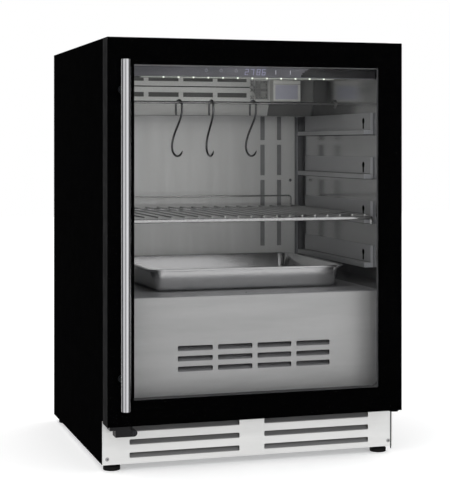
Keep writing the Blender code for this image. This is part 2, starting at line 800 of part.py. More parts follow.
def make_plinth():
    """The stainless grille under the door, with a folded top edge."""
    back = CABINET_FRONT + PANEL_SHEET
    outline = [
        (CABINET_FRONT, CABINET_BOTTOM),
        (back, CABINET_BOTTOM),
        (back, PLINTH_TOP - PANEL_SHEET),
        (CABINET_FRONT + PLINTH_FLANGE, PLINTH_TOP - PANEL_SHEET),
        (CABINET_FRONT + PLINTH_FLANGE, PLINTH_TOP),
        (CABINET_FRONT, PLINTH_TOP),
    ]
    grille = extruded("plinth_grille", [outline], "X", -HALF_WIDTH, HALF_WIDTH, STAINLESS)
    relief_boxes = []
    slots = []
    for side in (-1, 1):
        left, right = sorted((side * (FOAM_INNER_X - SEAT), side * (HALF_WIDTH + OVERRUN)))
        relief_boxes.append(
            (
                (left, back, CABINET_BOTTOM),
                (right, back + OVERRUN + PLINTH_FLANGE, PLINTH_TOP + OVERRUN),
            )
        )
        inner, outer = sorted((side * PLINTH_SLOT_OFFSET, side * (HALF_WIDTH - PLINTH_SLOT_MARGIN)))
        for row in range(PLINTH_SLOT_ROWS):
            middle = PLINTH_SLOT_FIRST + row * PLINTH_SLOT_PITCH
            slots.append(
                (
                    (inner, CABINET_FRONT - OVERRUN, middle - PLINTH_SLOT_HEIGHT / 2),
                    (outer, CABINET_FRONT + OVERRUN, middle + PLINTH_SLOT_HEIGHT / 2),
                )
            )
    cut(grille, slot_cutter("plinth_slots", slots, PLINTH_SLOT_CORNER))
    cut(grille, slot_cutter("plinth_corner_cutter", relief_boxes))


def make_lower_cover():
    """The louvred stainless panel below the storage space, and the floor plate above it."""
    bottom = OPENING_BOTTOM + SEAT
    back = COVER_DEPTH + PANEL_SHEET
    outline = [
        (COVER_DEPTH, bottom),
        (back, bottom),
        (back, COVER_TOP - PANEL_SHEET),
        (COVER_DEPTH + COVER_FLANGE, COVER_TOP - PANEL_SHEET),
        (COVER_DEPTH + COVER_FLANGE, COVER_TOP),
        (COVER_DEPTH, COVER_TOP),
    ]
    cover = extruded("lower_cover", [outline], "X", -WALL_SEAT_X, WALL_SEAT_X, STAINLESS)
    louvres = []
    for column in range(LOUVRE_COLUMNS):
        middle = LOUVRE_SHIFT + (column - (LOUVRE_COLUMNS - 1) / 2) * LOUVRE_PITCH_X
        for row in range(LOUVRE_ROWS):
            height = LOUVRE_FIRST_HEIGHT + row * LOUVRE_PITCH_Z
            louvres.append(
                (
                    (middle - LOUVRE_LENGTH / 2, COVER_DEPTH - OVERRUN, height - LOUVRE_HEIGHT / 2),
                    (middle + LOUVRE_LENGTH / 2, COVER_DEPTH + OVERRUN, height + LOUVRE_HEIGHT / 2),
                )
            )
    cut(cover, slot_cutter("louvre_cutter", louvres, LOUVRE_CORNER))
    box(
        "floor_plate",
        (-WALL_SEAT_X, COVER_DEPTH, FLOOR_BOTTOM),
        (WALL_SEAT_X, DUCT_DEPTH - SEAT, FLOOR_TOP),
        DARK_STAINLESS,
    )


def make_duct_cover():
    """The rear panel that hides the air duct, with columns of slots on both sides."""
    back = LINER_BACK - SEAT
    inside = DUCT_DEPTH + PANEL_SHEET
    inner_x = DUCT_HALF_WIDTH - PANEL_SHEET
    outline = [
        (-DUCT_HALF_WIDTH, DUCT_DEPTH),
        (DUCT_HALF_WIDTH, DUCT_DEPTH),
        (DUCT_HALF_WIDTH, back),
        (inner_x, back),
        (inner_x, inside),
        (-inner_x, inside),
        (-inner_x, back),
        (-DUCT_HALF_WIDTH, back),
    ]
    cover = extruded("rear_duct_cover", [outline], "Z", FLOOR_TOP + SEAT, UNDER_CEILING, STAINLESS)
    slots = []
    outer_column = DUCT_HALF_WIDTH - DUCT_COLUMN_INSET
    rows = 1 + int((CEILING - DUCT_SLOT_FIRST - DUCT_SLOT_LENGTH) / DUCT_SLOT_PITCH)
    behind = DUCT_DEPTH + PANEL_SHEET + SHEET
    for side in (-1, 1):
        for column in (outer_column - DUCT_COLUMN_SPACING, outer_column):
            left = side * column - DUCT_SLOT_WIDTH / 2
            for row in range(rows):
                low = DUCT_SLOT_FIRST + row * DUCT_SLOT_PITCH
                slots.append(
                    (
                        (left, DUCT_DEPTH - OVERRUN, low),
                        (left + DUCT_SLOT_WIDTH, behind, low + DUCT_SLOT_LENGTH),
                    )
                )
    cut(cover, slot_cutter("duct_slots", slots))


def make_cooling_unit():
    """The evaporator, its slotted cover and the small box beside the fan."""
    inside = UNIT_DEPTH + PANEL_SHEET
    lip_inside = UNIT_LIP_DEPTH + PANEL_SHEET / 2
    back = DUCT_DEPTH - SEAT
    outline = [
        (UNIT_DEPTH, UNDER_CEILING),
        (UNIT_DEPTH, UNIT_LIP_TOP),
        (UNIT_LIP_DEPTH, UNIT_BOTTOM),
        (back, UNIT_BOTTOM),
        (back, UNIT_BOTTOM + PANEL_SHEET),
        (lip_inside, UNIT_BOTTOM + PANEL_SHEET),
        (inside, UNIT_LIP_TOP),
        (inside, UNDER_CEILING),
    ]
    cover = extruded("evaporator_cover", [outline], "X", -WALL_SEAT_X, WALL_SEAT_X, STAINLESS)
    slots = []
    mesh_reach = (MESH_HOLES_EACH_WAY - 1) / 2
    mesh_left = MESH_CENTRE_X - mesh_reach * MESH_PITCH - MESH_HOLE / 2
    first = UNIT_SLOT_MARGIN - INNER_HALF_WIDTH
    for column in range(int((mesh_left - first) / UNIT_SLOT_PITCH)):
        left = first + column * UNIT_SLOT_PITCH
        for middle in (CEILING - UNIT_SLOT_LOW_DROP, CEILING - UNIT_SLOT_HIGH_DROP):
            slots.append(
                (
                    (left, UNIT_DEPTH - OVERRUN, middle - UNIT_SLOT_HEIGHT / 2),
                    (left + UNIT_SLOT_LENGTH, UNIT_DEPTH + OVERRUN, middle + UNIT_SLOT_HEIGHT / 2),
                )
            )
    for column in range(MESH_HOLES_EACH_WAY):
        for row in range(MESH_HOLES_EACH_WAY):
            x = MESH_CENTRE_X + (column - mesh_reach) * MESH_PITCH
            z = MESH_CENTRE_HEIGHT + (row - mesh_reach) * MESH_PITCH
            slots.append(
                (
                    (x - MESH_HOLE / 2, UNIT_DEPTH - OVERRUN, z - MESH_HOLE / 2),
                    (x + MESH_HOLE / 2, UNIT_DEPTH + OVERRUN, z + MESH_HOLE / 2),
                )
            )
    cut(cover, slot_cutter("unit_slots", slots))
    right = INNER_HALF_WIDTH - SENSOR_BOX_INSET
    top = CEILING - SENSOR_BOX_DROP
    box(
        "sensor_box",
        (right - SENSOR_BOX_WIDTH, UNIT_DEPTH - SEAT - SENSOR_BOX_DEPTH, top - SENSOR_BOX_HEIGHT),
        (right, UNIT_DEPTH - SEAT, top),
        PALE_PLASTIC,
        SENSOR_BOX_CORNER,
    )
    left = EVAPORATOR_SIDE_GAP - INNER_HALF_WIDTH
    right = MESH_CENTRE_X - COLD_FAN_SIDE / 2 - EVAPORATOR_FAN_GAP
    bottom = UNIT_BOTTOM + PANEL_SHEET + SEAT
    front = UNIT_LIP_DEPTH + EVAPORATOR_MARGIN
    finned_block(
        "evaporator",
        (left, front, bottom),
        (right, front + EVAPORATOR_DEPTH, bottom + EVAPORATOR_HEIGHT),
    )


def finned_block(name, low, high):
    """A heat exchanger: a block with slits from the front that leave its fins."""
    block = box(name, low, high, ALUMINIUM)
    slits = []
    count = int((high[0] - low[0] - FIN_SLOT_INSET) / FIN_PITCH)
    for index in range(count):
        left = low[0] + FIN_SLOT_INSET + index * FIN_PITCH
        slits.append(
            (
                (left, low[1] - OVERRUN, low[2] + FIN_SLOT_INSET),
                (left + FIN_SLOT_WIDTH, high[1] - FIN_SLOT_INSET, high[2] - FIN_SLOT_INSET),
            )
        )
    return cut(block, slot_cutter(name + "_slits", slits))


def make_control_panel():
    """The control fascia behind the glass and the light strip on its underside."""
    low = UNDER_CEILING - FASCIA_HEIGHT
    half = INNER_HALF_WIDTH - FASCIA_SIDE_GAP
    front = CABINET_FRONT + FASCIA_SETBACK
    box(
        "control_fascia",
        (-half, front, low),
        (half, front + FASCIA_THICKNESS, UNDER_CEILING),
        GREY_PANEL,
        SHEET,
    )
    half = INNER_HALF_WIDTH - LIGHT_SIDE_GAP
    front += LIGHT_SETBACK
    box(
        "light_strip",
        (-half, front, low - SEAT - LIGHT_HEIGHT),
        (half, front + LIGHT_DEPTH, low - SEAT),
        LIGHT,
    )


def make_runners():
    """Folded runners on each wall up to the cooling unit, each with a shelf ledge and a keyhole."""
    highest = UNIT_BOTTOM - SEAT - RUNNER_HEIGHT
    for side, side_name in ((-1, "left"), (1, "right")):
        for level in range(1 + int((highest - RUNNER_FIRST) / RUNNER_PITCH)):
            bottom = RUNNER_FIRST + level * RUNNER_PITCH
            top = bottom + RUNNER_HEIGHT
            ledge = bottom + RUNNER_LEDGE_HEIGHT
            wall = WALL_SEAT_X
            plate = INNER_HALF_WIDTH - RUNNER_STANDOFF
            lip = plate - RUNNER_LEDGE_WIDTH
            section = [
                (wall, top),
                (plate, top),
                (plate, ledge),
                (lip, ledge),
                (lip, bottom),
                (lip + PANEL_SHEET, bottom),
                (lip + PANEL_SHEET, ledge - PANEL_SHEET),
                (plate + PANEL_SHEET, ledge - PANEL_SHEET),
                (plate + PANEL_SHEET, top - PANEL_SHEET),
                (wall, top - PANEL_SHEET),
            ]
            outline = [(side * x, z) for x, z in section]
            name = f"runner_{side_name}_{level + 1}"
            runner = extruded(name, [outline], "Y", RUNNER_FRONT, RUNNER_BACK, STAINLESS)
            depth = RUNNER_FRONT + KEYHOLE_SETBACK
            height = bottom + KEYHOLE_HEIGHT
            left, right = sorted((side * (plate - SHEET), side * (plate + PANEL_SHEET + SHEET)))
            shape = bmesh.new()
            start = (left, depth, height)
            add_cylinder(shape, start, (1, 0, 0), right - left, KEYHOLE_RADIUS, HOLE_STEPS)
            slot = slot_cutter(
                name + "_slot",
                [
                    (
                        (left, depth - KEYHOLE_SLOT_WIDTH / 2, height - KEYHOLE_SLOT_LENGTH),
                        (right, depth + KEYHOLE_SLOT_WIDTH / 2, height),
                    )
                ],
            )
            cut(cut(runner, mesh_object(name + "_hole", shape, None)), slot)


def make_shelf():
    """The wire shelf: a bent frame, wires from front to back and a raised guard at the back.

    It rests on the runners' ledges with the flat undersides of its side rods.
    """
    highest = RAIL_HEIGHT - HOOK_LENGTH - SHELF_HEADROOM
    runner = RUNNER_FIRST + int((highest - RUNNER_FIRST) / RUNNER_PITCH) * RUNNER_PITCH
    side_radius = SHELF_FRAME_RADIUS - SEAT
    frame_height = runner + RUNNER_LEDGE_HEIGHT + SEAT + side_radius * WIRE_FLAT_SHARE
    end = INNER_HALF_WIDTH - SHELF_END_GAP - SHELF_FRAME_RADIUS
    side = SHELF_HALF_WIDTH
    corner = SHELF_CORNER
    front = [(-end, SHELF_FRONT, frame_height - SHELF_END_DROP)]
    for sign, first, last in ((-1, 180, 90), (1, 90, 0)):
        bend = arc((sign * (end - corner), frame_height - corner), corner, first, last)
        front += [(x, SHELF_FRONT, z) for x, z in bend]
    front.append((end, SHELF_FRONT, frame_height - SHELF_END_DROP))
    shelf = tube("shelf", front, SHELF_FRAME_RADIUS, CHROME)
    rods = bpy.data.collections.new("shelf_rods")
    CUTTERS.children.link(rods)
    pieces = [
        (
            "shelf_rear_rod",
            [(-side, SHELF_BACK, frame_height), (side, SHELF_BACK, frame_height)],
            SHELF_FRAME_RADIUS,
        )
    ]
    rear_end = SHELF_BACK + SHELF_FRAME_RADIUS - SEAT
    for sign, name in ((-1, "shelf_left_rod"), (1, "shelf_right_rod")):
        x = sign * (side - SHELF_FRAME_RADIUS)
        run = [(x, SHELF_FRONT, frame_height), (x, rear_end, frame_height)]
        pieces.append((name, run, side_radius))
    wire_height = frame_height + SHELF_FRAME_RADIUS + SHELF_WIRE_RADIUS - SHELF_WELD
    count = int((side - SHELF_WIRE_PITCH / 2) / SHELF_WIRE_PITCH)
    for index in range(-count, count + 1):
        x = index * SHELF_WIRE_PITCH
        pieces.append(
            (
                f"shelf_wire_{index + count}",
                [(x, SHELF_FRONT + SEAT, wire_height), (x, SHELF_BACK - SEAT, wire_height)],
                SHELF_WIRE_RADIUS,
            )
        )
    guard_top = frame_height + SHELF_GUARD_HEIGHT
    guard_side = side - SHELF_GUARD_INSET
    guard = [(-guard_side, SHELF_BACK, frame_height)]
    for sign, first, last in ((-1, 180, 90), (1, 90, 0)):
        bend = arc((sign * (guard_side - corner), guard_top - corner), corner, first, last)
        guard += [(x, SHELF_BACK, z) for x, z in bend]
    guard.append((guard_side, SHELF_BACK, frame_height))
    pieces.append(("shelf_guard", guard, SHELF_GUARD_RADIUS))
    for name, points, radius in pieces:
        rod = tube(name, points, radius, None, WIRE_RESOLUTION)
        CUTTERS.objects.unlink(rod)
        rods.objects.link(rod)
    union = shelf.modifiers.new("welded rods", "BOOLEAN")
    union.operation = "UNION"
    union.operand_type = "COLLECTION"
    union.collection = rods
    union.solver = "EXACT"
    pivot("shelf_slide", (0.0, SHELF_FRONT, frame_height), [shelf])


def rounded_rectangle(low_x, high_x, low_y, high_y, corner, height):
    """Points round a rectangle with rounded corners, at one height."""
    corners = (
        (high_x - corner, low_y + corner, -90),
        (high_x - corner, high_y - corner, 0),
        (low_x + corner, high_y - corner, 90),
        (low_x + corner, low_y + corner, 180),
    )
    points = []
    for x, y, start in corners:
        for index in range(CORNER_STEPS + 1):
            angle = math.radians(start + 90 * index / CORNER_STEPS)
            points.append(placed((x + corner * math.cos(angle), y + corner * math.sin(angle), height)))
    return points


def make_tray():
    """The deep-drawn tray: sloping walls, a rounded base edge and a rolled rim."""
    rim = FLOOR_TOP + SEAT + TRAY_HEIGHT
    base = FLOOR_TOP + SEAT + TRAY_SHEET
    levels = [
        (0.0, rim - TRAY_RIM_DROP),
        (0.0, rim),
        (TRAY_RIM, rim),
        (TRAY_RIM + TRAY_TAPER, base + TRAY_BASE_ROUND),
    ]
    for index in range(1, CORNER_STEPS + 1):
        angle = math.radians(90 * index / CORNER_STEPS)
        inset = TRAY_RIM + TRAY_TAPER + TRAY_BASE_ROUND * (1 - math.cos(angle))
        levels.append((inset, base + TRAY_BASE_ROUND * (1 - math.sin(angle))))
    shape = bmesh.new()
    loops = []
    for inset, height in levels:
        left, right = TRAY_LEFT + inset, TRAY_RIGHT - inset
        front, back = TRAY_FRONT + inset, TRAY_BACK - inset
        points = rounded_rectangle(left, right, front, back, TRAY_CORNER - inset, height)
        loops.append([shape.verts.new(point) for point in points])
    for upper, lower in zip(loops, loops[1:]):
        for index in range(len(upper)):
            following = (index + 1) % len(upper)
            shape.faces.new((upper[index], upper[following], lower[following], lower[index]))
    shape.faces.new(loops[-1])
    bmesh.ops.recalc_face_normals(shape, faces=shape.faces)
    tray = mesh_object("tray", shape, STAINLESS)
    shade_round(tray)
    solidify = tray.modifiers.new("sheet", "SOLIDIFY")
    solidify.thickness = TRAY_SHEET
    solidify.offset = 0.0
    solidify.use_even_offset = True
    pivot("tray_slide", (0.0, TRAY_FRONT, FLOOR_TOP), [tray])


def make_rail():
    half = WALL_SEAT_X
    profile = [
        (0.0, half),
        (RAIL_FLANGE_RADIUS, half),
        (RAIL_FLANGE_RADIUS, half - RAIL_FLANGE_THICKNESS),
        (RAIL_RADIUS, half - RAIL_FLANGE_THICKNESS),
        (RAIL_RADIUS, RAIL_FLANGE_THICKNESS - half),
        (RAIL_FLANGE_RADIUS, RAIL_FLANGE_THICKNESS - half),
        (RAIL_FLANGE_RADIUS, -half),
        (0.0, -half),
    ]
    centre = (0.0, RAIL_DEPTH, RAIL_HEIGHT)
    turned("hanging_rail", profile, centre, (1, 0, 0), STAINLESS, SMALL_ROUND_STEPS)


def hook_path():
    """The S shape in its own plane: across and height, from the free end over the rail to the point."""
    top = RAIL_RADIUS + SEAT + HOOK_WIRE_RADIUS
    upper = (0.0, top - HOOK_UPPER_RADIUS)
    lower = (-HOOK_OFFSET, top - HOOK_LENGTH + HOOK_LOWER_RADIUS)
    across = lower[0] - upper[0]
    down = lower[1] - upper[1]
    distance = math.hypot(across, down)
    heading = math.degrees(math.atan2(down, across))
    swing = math.degrees(math.acos((HOOK_UPPER_RADIUS + HOOK_LOWER_RADIUS) / distance))
    leave = heading + swing
    path = [(upper[0] - HOOK_UPPER_RADIUS, upper[1] - HOOK_LEG)]
    path += arc(upper, HOOK_UPPER_RADIUS, 180, leave)
    path += arc(lower, HOOK_LOWER_RADIUS, leave + 180, HOOK_END_DEGREES)
    return path


def make_hooks():
    for name, x, degrees in (
        ("meat_hook_left", HOOK_LEFT_X, HOOK_TURN_DEGREES),
        ("meat_hook_middle", HOOK_MIDDLE_X, HOOK_MIDDLE_TURN_DEGREES),
        ("meat_hook_right", HOOK_RIGHT_X, HOOK_TURN_DEGREES),
    ):
        turn = math.radians(degrees)
        points = [
            (x + u * math.sin(turn), RAIL_DEPTH - u * math.cos(turn), RAIL_HEIGHT + z)
            for u, z in hook_path()
        ]
        hook = tube(name, points, HOOK_WIRE_RADIUS, CHROME, WIRE_RESOLUTION)
        shade_round(hook)
        pivot(name + "_pivot", (x, RAIL_DEPTH, RAIL_HEIGHT), [hook])


def foot_places():
    depths = (FOOT_FRONT, CABINET_DEPTH - FOOT_BACK_INSET)
    return [(side * (HALF_WIDTH - FOOT_INSET), depth) for depth in depths for side in (-1, 1)]


def make_feet():
    names = ("foot_front_left", "foot_front_right", "foot_rear_left", "foot_rear_right")
    top = CABINET_BOTTOM + FOOT_STEM_LENGTH
    profile = [
        (0.0, top),
        (FOOT_STEM_RADIUS, top),
        (FOOT_STEM_RADIUS, CABINET_BOTTOM),
        (FOOT_NUT_RADIUS, CABINET_BOTTOM),
        (FOOT_NUT_RADIUS, CABINET_BOTTOM - FOOT_NUT_HEIGHT),
        (FOOT_RADIUS, FOOT_PAD_HEIGHT),
        (FOOT_RADIUS, 0.0),
        (0.0, 0.0),
    ]
    for name, (x, y) in zip(names, foot_places()):
        turned(name, profile, (x, y, 0.0), (0, 0, 1), BLACK_PLASTIC, SMALL_ROUND_STEPS)


def make_fan(name, centre, side, depth, wall):
    """A square axial fan: the frame with its motor on four arms, and the rotor in front of it."""
    x, front, z = centre
    half = side / 2
    bore = half - wall
    hub = bore * FAN_HUB_SHARE
    rotor_depth = depth * FAN_ROTOR_SHARE
    motor_front = front + rotor_depth + SEAT
    low = (x - half, front, z - half)
    high = (x + half, front + depth, z + half)
    frame = box(name + "_frame", low, high, BLACK_PLASTIC)
    shape = bmesh.new()
    through = depth + OVERRUN + OVERRUN
    add_cylinder(shape, (x, front - OVERRUN, z), (0, 1, 0), through, bore, ROUND_STEPS)
    cut(frame, mesh_object(name + "_bore", shape, None))
    shape = bmesh.new()
    add_cylinder(shape, (x, motor_front, z), (0, 1, 0), depth - rotor_depth - SEAT, hub)
    join(frame, mesh_object(name + "_motor", shape, None))
    arm = bore * FAN_ARM_SHARE
    arms_back = motor_front + (depth - rotor_depth) * FAN_MOTOR_SHARE
    reach = half - wall / 2
    for arm_name, wide, tall in (("_level_arm", reach, arm), ("_upright_arm", arm, reach)):
        low = (x - wide, arms_back - arm, z - tall)
        high = (x + wide, arms_back, z + tall)
        join(frame, box(name + arm_name, low, high, None))
    rotor_front = (x, front + wall / 2, z)
    rotor_length = rotor_depth - wall / 2
    rotor = cylinder(name + "_rotor", rotor_front, (0, 1, 0), rotor_length, hub, BLACK_PLASTIC)
    tip = bore - FAN_TIP_CLEARANCE
    sheet = bore * FAN_BLADE_SHEET_SHARE
    chord = bore * FAN_BLADE_SHARE
    blades = bpy.data.collections.new(name + "_blades")
    CUTTERS.children.link(blades)
    blade_centre = placed((x, front + rotor_depth / 2, z))
    pitch = Matrix.Rotation(math.radians(FAN_BLADE_PITCH_DEGREES), 4, "X")
    outwards = Matrix.Translation(((tip + hub / 2) / 2, 0.0, 0.0))
    size = Matrix.Diagonal((tip - hub / 2, sheet, chord, 1.0))
    for index in range(FAN_BLADES):
        turn = Matrix.Rotation(math.tau * index / FAN_BLADES, 4, "Y")
        matrix = Matrix.Translation(blade_centre) @ turn @ outwards @ pitch @ size
        shape = bmesh.new()
        bmesh.ops.create_cube(shape, size=1.0, matrix=matrix)
        blade = mesh_object(f"{name}_blade_{index}", shape, None)
        CUTTERS.objects.unlink(blade)
        blades.objects.link(blade)
    union = rotor.modifiers.new("blades", "BOOLEAN")
    union.operation = "UNION"
    union.operand_type = "COLLECTION"
    union.collection = blades
    union.solver = "EXACT"
    pivot(name + "_axle", (x, front, z), [rotor])


def make_machine():
    """Compressor, condenser, fans and the power inlet."""
    floor = PAN_TOP + SEAT
    shoulder = floor + COMPRESSOR_HEIGHT - COMPRESSOR_DOME
    profile = [(0.0, floor + COMPRESSOR_HEIGHT)]
    for index in range(1, CORNER_STEPS + 1):
        angle = math.radians(90 * (1 - index / CORNER_STEPS))
        radius = COMPRESSOR_RADIUS * math.cos(angle)
        profile.append((radius, shoulder + COMPRESSOR_DOME * math.sin(angle)))
    seam = (floor + shoulder) / 2
    profile += [
        (COMPRESSOR_RADIUS, seam + COMPRESSOR_SEAM),
        (COMPRESSOR_RADIUS + COMPRESSOR_SEAM, seam + COMPRESSOR_SEAM),
        (COMPRESSOR_RADIUS + COMPRESSOR_SEAM, seam),
        (COMPRESSOR_RADIUS, seam),
        (COMPRESSOR_RADIUS, floor + COMPRESSOR_BASE_THICKNESS / 2),
        (0.0, floor + COMPRESSOR_BASE_THICKNESS / 2),
    ]
    centre = (COMPRESSOR_X, COMPRESSOR_Y, 0.0)
    compressor = turned("compressor", profile, centre, (0, 0, 1), BLACK_PAINT)
    wide = COMPRESSOR_BASE_WIDTH / 2
    deep = COMPRESSOR_BASE_DEPTH / 2
    base = box(
        "compressor_base",
        (COMPRESSOR_X - wide, COMPRESSOR_Y - deep, floor),
        (COMPRESSOR_X + wide, COMPRESSOR_Y + deep, floor + COMPRESSOR_BASE_THICKNESS),
        None,
    )
    join(compressor, base)
    half = CONDENSER_SIDE / 2
    back = CONDENSER_FRONT + CONDENSER_THICKNESS
    finned_block(
        "condenser",
        (CONDENSER_X - half, CONDENSER_FRONT, floor),
        (CONDENSER_X + half, back, floor + CONDENSER_SIDE),
    )
    fan_centre = (CONDENSER_X, back + SEAT, floor + COOLING_FAN_SIDE / 2)
    make_fan("condenser_fan", fan_centre, COOLING_FAN_SIDE, COOLING_FAN_DEPTH, COOLING_FAN_WALL)
    cold_centre = (MESH_CENTRE_X, UNIT_DEPTH + PANEL_SHEET + SEAT, MESH_CENTRE_HEIGHT)
    make_fan("evaporator_fan", cold_centre, COLD_FAN_SIDE, COLD_FAN_DEPTH, COLD_FAN_WALL)
    inlet_back = REAR_PANEL_FRONT - SEAT
    wide = INLET_WIDTH / 2 + INLET_RIM
    tall = INLET_TALL / 2 + INLET_RIM
    inlet = box(
        "power_inlet",
        (INLET_X + SEAT - wide, inlet_back - INLET_DEPTH, INLET_HEIGHT - tall),
        (INLET_X + wide, inlet_back, INLET_HEIGHT + tall),
        BLACK_PLASTIC,
    )
    wide = INLET_WIDTH / 2 - INLET_RIM
    tall = INLET_TALL / 2 - INLET_RIM
    low = (INLET_X - wide, inlet_back - INLET_SOCKET, INLET_HEIGHT - tall)
    high = (INLET_X + wide, inlet_back + OVERRUN, INLET_HEIGHT + tall)
    cut(inlet, slot_cutter("inlet_socket", [(low, high)]))


def hinge_bracket(name, plate_low, leg_low, leg_high, pin_start, pin_direction):
    """A plate with a round nose on the hinge axis, a leg on the cabinet front and the pin."""
    leg_back = CABINET_FRONT - SEAT
    left = HINGE_X - BRACKET_NOSE_RADIUS
    right = HINGE_X + BRACKET_NOSE_RADIUS
    outline = arc((HINGE_X, HINGE_DEPTH), BRACKET_NOSE_RADIUS, 180, 360)
    outline += [(right, leg_back), (left, leg_back)]
    plate = extruded(name, [outline], "Z", plate_low, plate_low + BRACKET_THICKNESS, ZINC)
    leg = box(
        name + "_leg",
        (right - BRACKET_LEG_WIDTH, leg_back - BRACKET_LEG_THICKNESS, leg_low),
        (right, leg_back, leg_high),
        None,
    )
    length = HINGE_PIN_LENGTH + BRACKET_THICKNESS / 2
    start = (HINGE_X, HINGE_DEPTH, pin_start)
    pin = cylinder(name + "_pin", start, (0, 0, pin_direction), length, HINGE_PIN_RADIUS, None)
    return join(join(plate, leg), pin)


def make_hinges():
    lower_plate = DOOR_BOTTOM - SEAT - BRACKET_THICKNESS
    hinge_bracket(
        "hinge_bracket_lower",
        lower_plate,
        lower_plate,
        lower_plate + LOWER_LEG_HEIGHT,
        lower_plate + BRACKET_THICKNESS / 2,
        1,
    )
    upper_plate = CABINET_HEIGHT - HINGE_NOTCH_HEIGHT + SEAT
    upper_top = upper_plate + BRACKET_THICKNESS
    hinge_bracket(
        "hinge_bracket_upper",
        upper_plate,
        upper_top - UPPER_LEG_HEIGHT,
        upper_top,
        upper_plate + BRACKET_THICKNESS / 2,
        -1,
    )


def make_door():
    """Two panes, four frame bars, spacer, gasket, handle and lock housing, all on the hinge axis."""
    top = CABINET_HEIGHT
    pieces = [
        box(
            "door_outer_glass",
            (-HALF_WIDTH, 0.0, DOOR_BOTTOM),
            (HALF_WIDTH, GLASS_THICKNESS, top),
            GLASS,
            SHEET,
        ),
        box(
            "door_inner_glass",
            (SEAT - WINDOW_HALF_WIDTH, INNER_PANE_FRONT, WINDOW_BOTTOM + SEAT),
            (WINDOW_HALF_WIDTH - SEAT, INNER_PANE_BACK, WINDOW_TOP - SEAT),
            GLASS,
        ),
    ]
    left = box(
        "door_stile_left",
        (-HALF_WIDTH, FRAME_FRONT, DOOR_BOTTOM),
        (-WINDOW_HALF_WIDTH, DOOR_THICKNESS, top),
        BLACK_PAINT,
    )
    right = box(
        "door_stile_right",
        (WINDOW_HALF_WIDTH, FRAME_FRONT, DOOR_BOTTOM),
        (HALF_WIDTH, DOOR_THICKNESS, top),
        BLACK_PAINT,
    )
    notch = slot_cutter(
        "hinge_notch",
        [
            (
                (HALF_WIDTH - HINGE_NOTCH_WIDTH, FRAME_FRONT - OVERRUN, top - HINGE_NOTCH_HEIGHT),
                (HALF_WIDTH + OVERRUN, DOOR_THICKNESS + OVERRUN, top + OVERRUN),
            )
        ],
    )
    shape = bmesh.new()
    hole = HINGE_PIN_RADIUS + HINGE_PIN_CLEARANCE
    depth = OVERRUN + HINGE_PIN_LENGTH + SEAT
    add_cylinder(shape, (HINGE_X, HINGE_DEPTH, DOOR_BOTTOM - OVERRUN), (0, 0, 1), depth, hole)
    add_cylinder(shape, (HINGE_X, HINGE_DEPTH, top - HINGE_NOTCH_HEIGHT + OVERRUN), (0, 0, -1), depth, hole)
    cut(cut(right, notch), mesh_object("hinge_holes", shape, None))
    rail_half = WINDOW_HALF_WIDTH - SEAT
    pieces += [left, right]
    for name, low, high in (
        ("door_rail_top", WINDOW_TOP, top),
        ("door_rail_bottom", DOOR_BOTTOM, WINDOW_BOTTOM),
    ):
        corner = (rail_half, DOOR_THICKNESS, high)
        pieces.append(box(name, (-rail_half, FRAME_FRONT, low), corner, BLACK_PAINT))
    outer = rectangle(-rail_half, rail_half, WINDOW_BOTTOM + SEAT, WINDOW_TOP - SEAT)
    inner = rectangle(
        SPACER_WIDTH - rail_half,
        rail_half - SPACER_WIDTH,
        WINDOW_BOTTOM + SEAT + SPACER_WIDTH,
        WINDOW_TOP - SEAT - SPACER_WIDTH,
    )
    back = INNER_PANE_FRONT - SEAT
    pieces.append(extruded("door_spacer", [outer, inner], "Y", FRAME_FRONT, back, ALUMINIUM))
    inner_half = INNER_HALF_WIDTH + GASKET_MARGIN
    inner = rectangle(-inner_half, inner_half, OPENING_BOTTOM - GASKET_MARGIN, CEILING + GASKET_MARGIN)
    outer_half = inner_half + GASKET_WIDTH
    outer = rectangle(
        -outer_half,
        outer_half,
        OPENING_BOTTOM - GASKET_MARGIN - GASKET_WIDTH,
        CEILING + GASKET_MARGIN + GASKET_WIDTH,
    )
    front = DOOR_THICKNESS + SEAT
    pieces.append(extruded("door_gasket", [outer, inner], "Y", front, CABINET_FRONT - SEAT, RUBBER))
    pieces += make_handle()
    housing = make_lock_housing()
    door = pivot("door_hinge", (HINGE_X, HINGE_DEPTH, DOOR_BOTTOM), pieces + [housing])
    make_lock_cylinder(door)


def make_handle():
    x = HANDLE_CENTRE_INSET - HALF_WIDTH
    bar = cylinder(
        "handle_bar",
        (x, -HANDLE_CENTRE_REACH, HANDLE_BOTTOM),
        (0, 0, 1),
        HANDLE_TOP - HANDLE_BOTTOM,
        HANDLE_DIAMETER / 2,
        STAINLESS,
        ROUND_STEPS,
    )
    length = HANDLE_CENTRE_REACH - HANDLE_DIAMETER / 2 - SEAT - SEAT
    pieces = [bar]
    for name, height in (
        ("handle_post_upper", HANDLE_TOP - POST_INSET),
        ("handle_post_lower", HANDLE_BOTTOM + POST_INSET),
    ):
        start = (x, -SEAT, height)
        pieces.append(cylinder(name, start, (0, -1, 0), length, POST_DIAMETER / 2, STAINLESS))
    return pieces


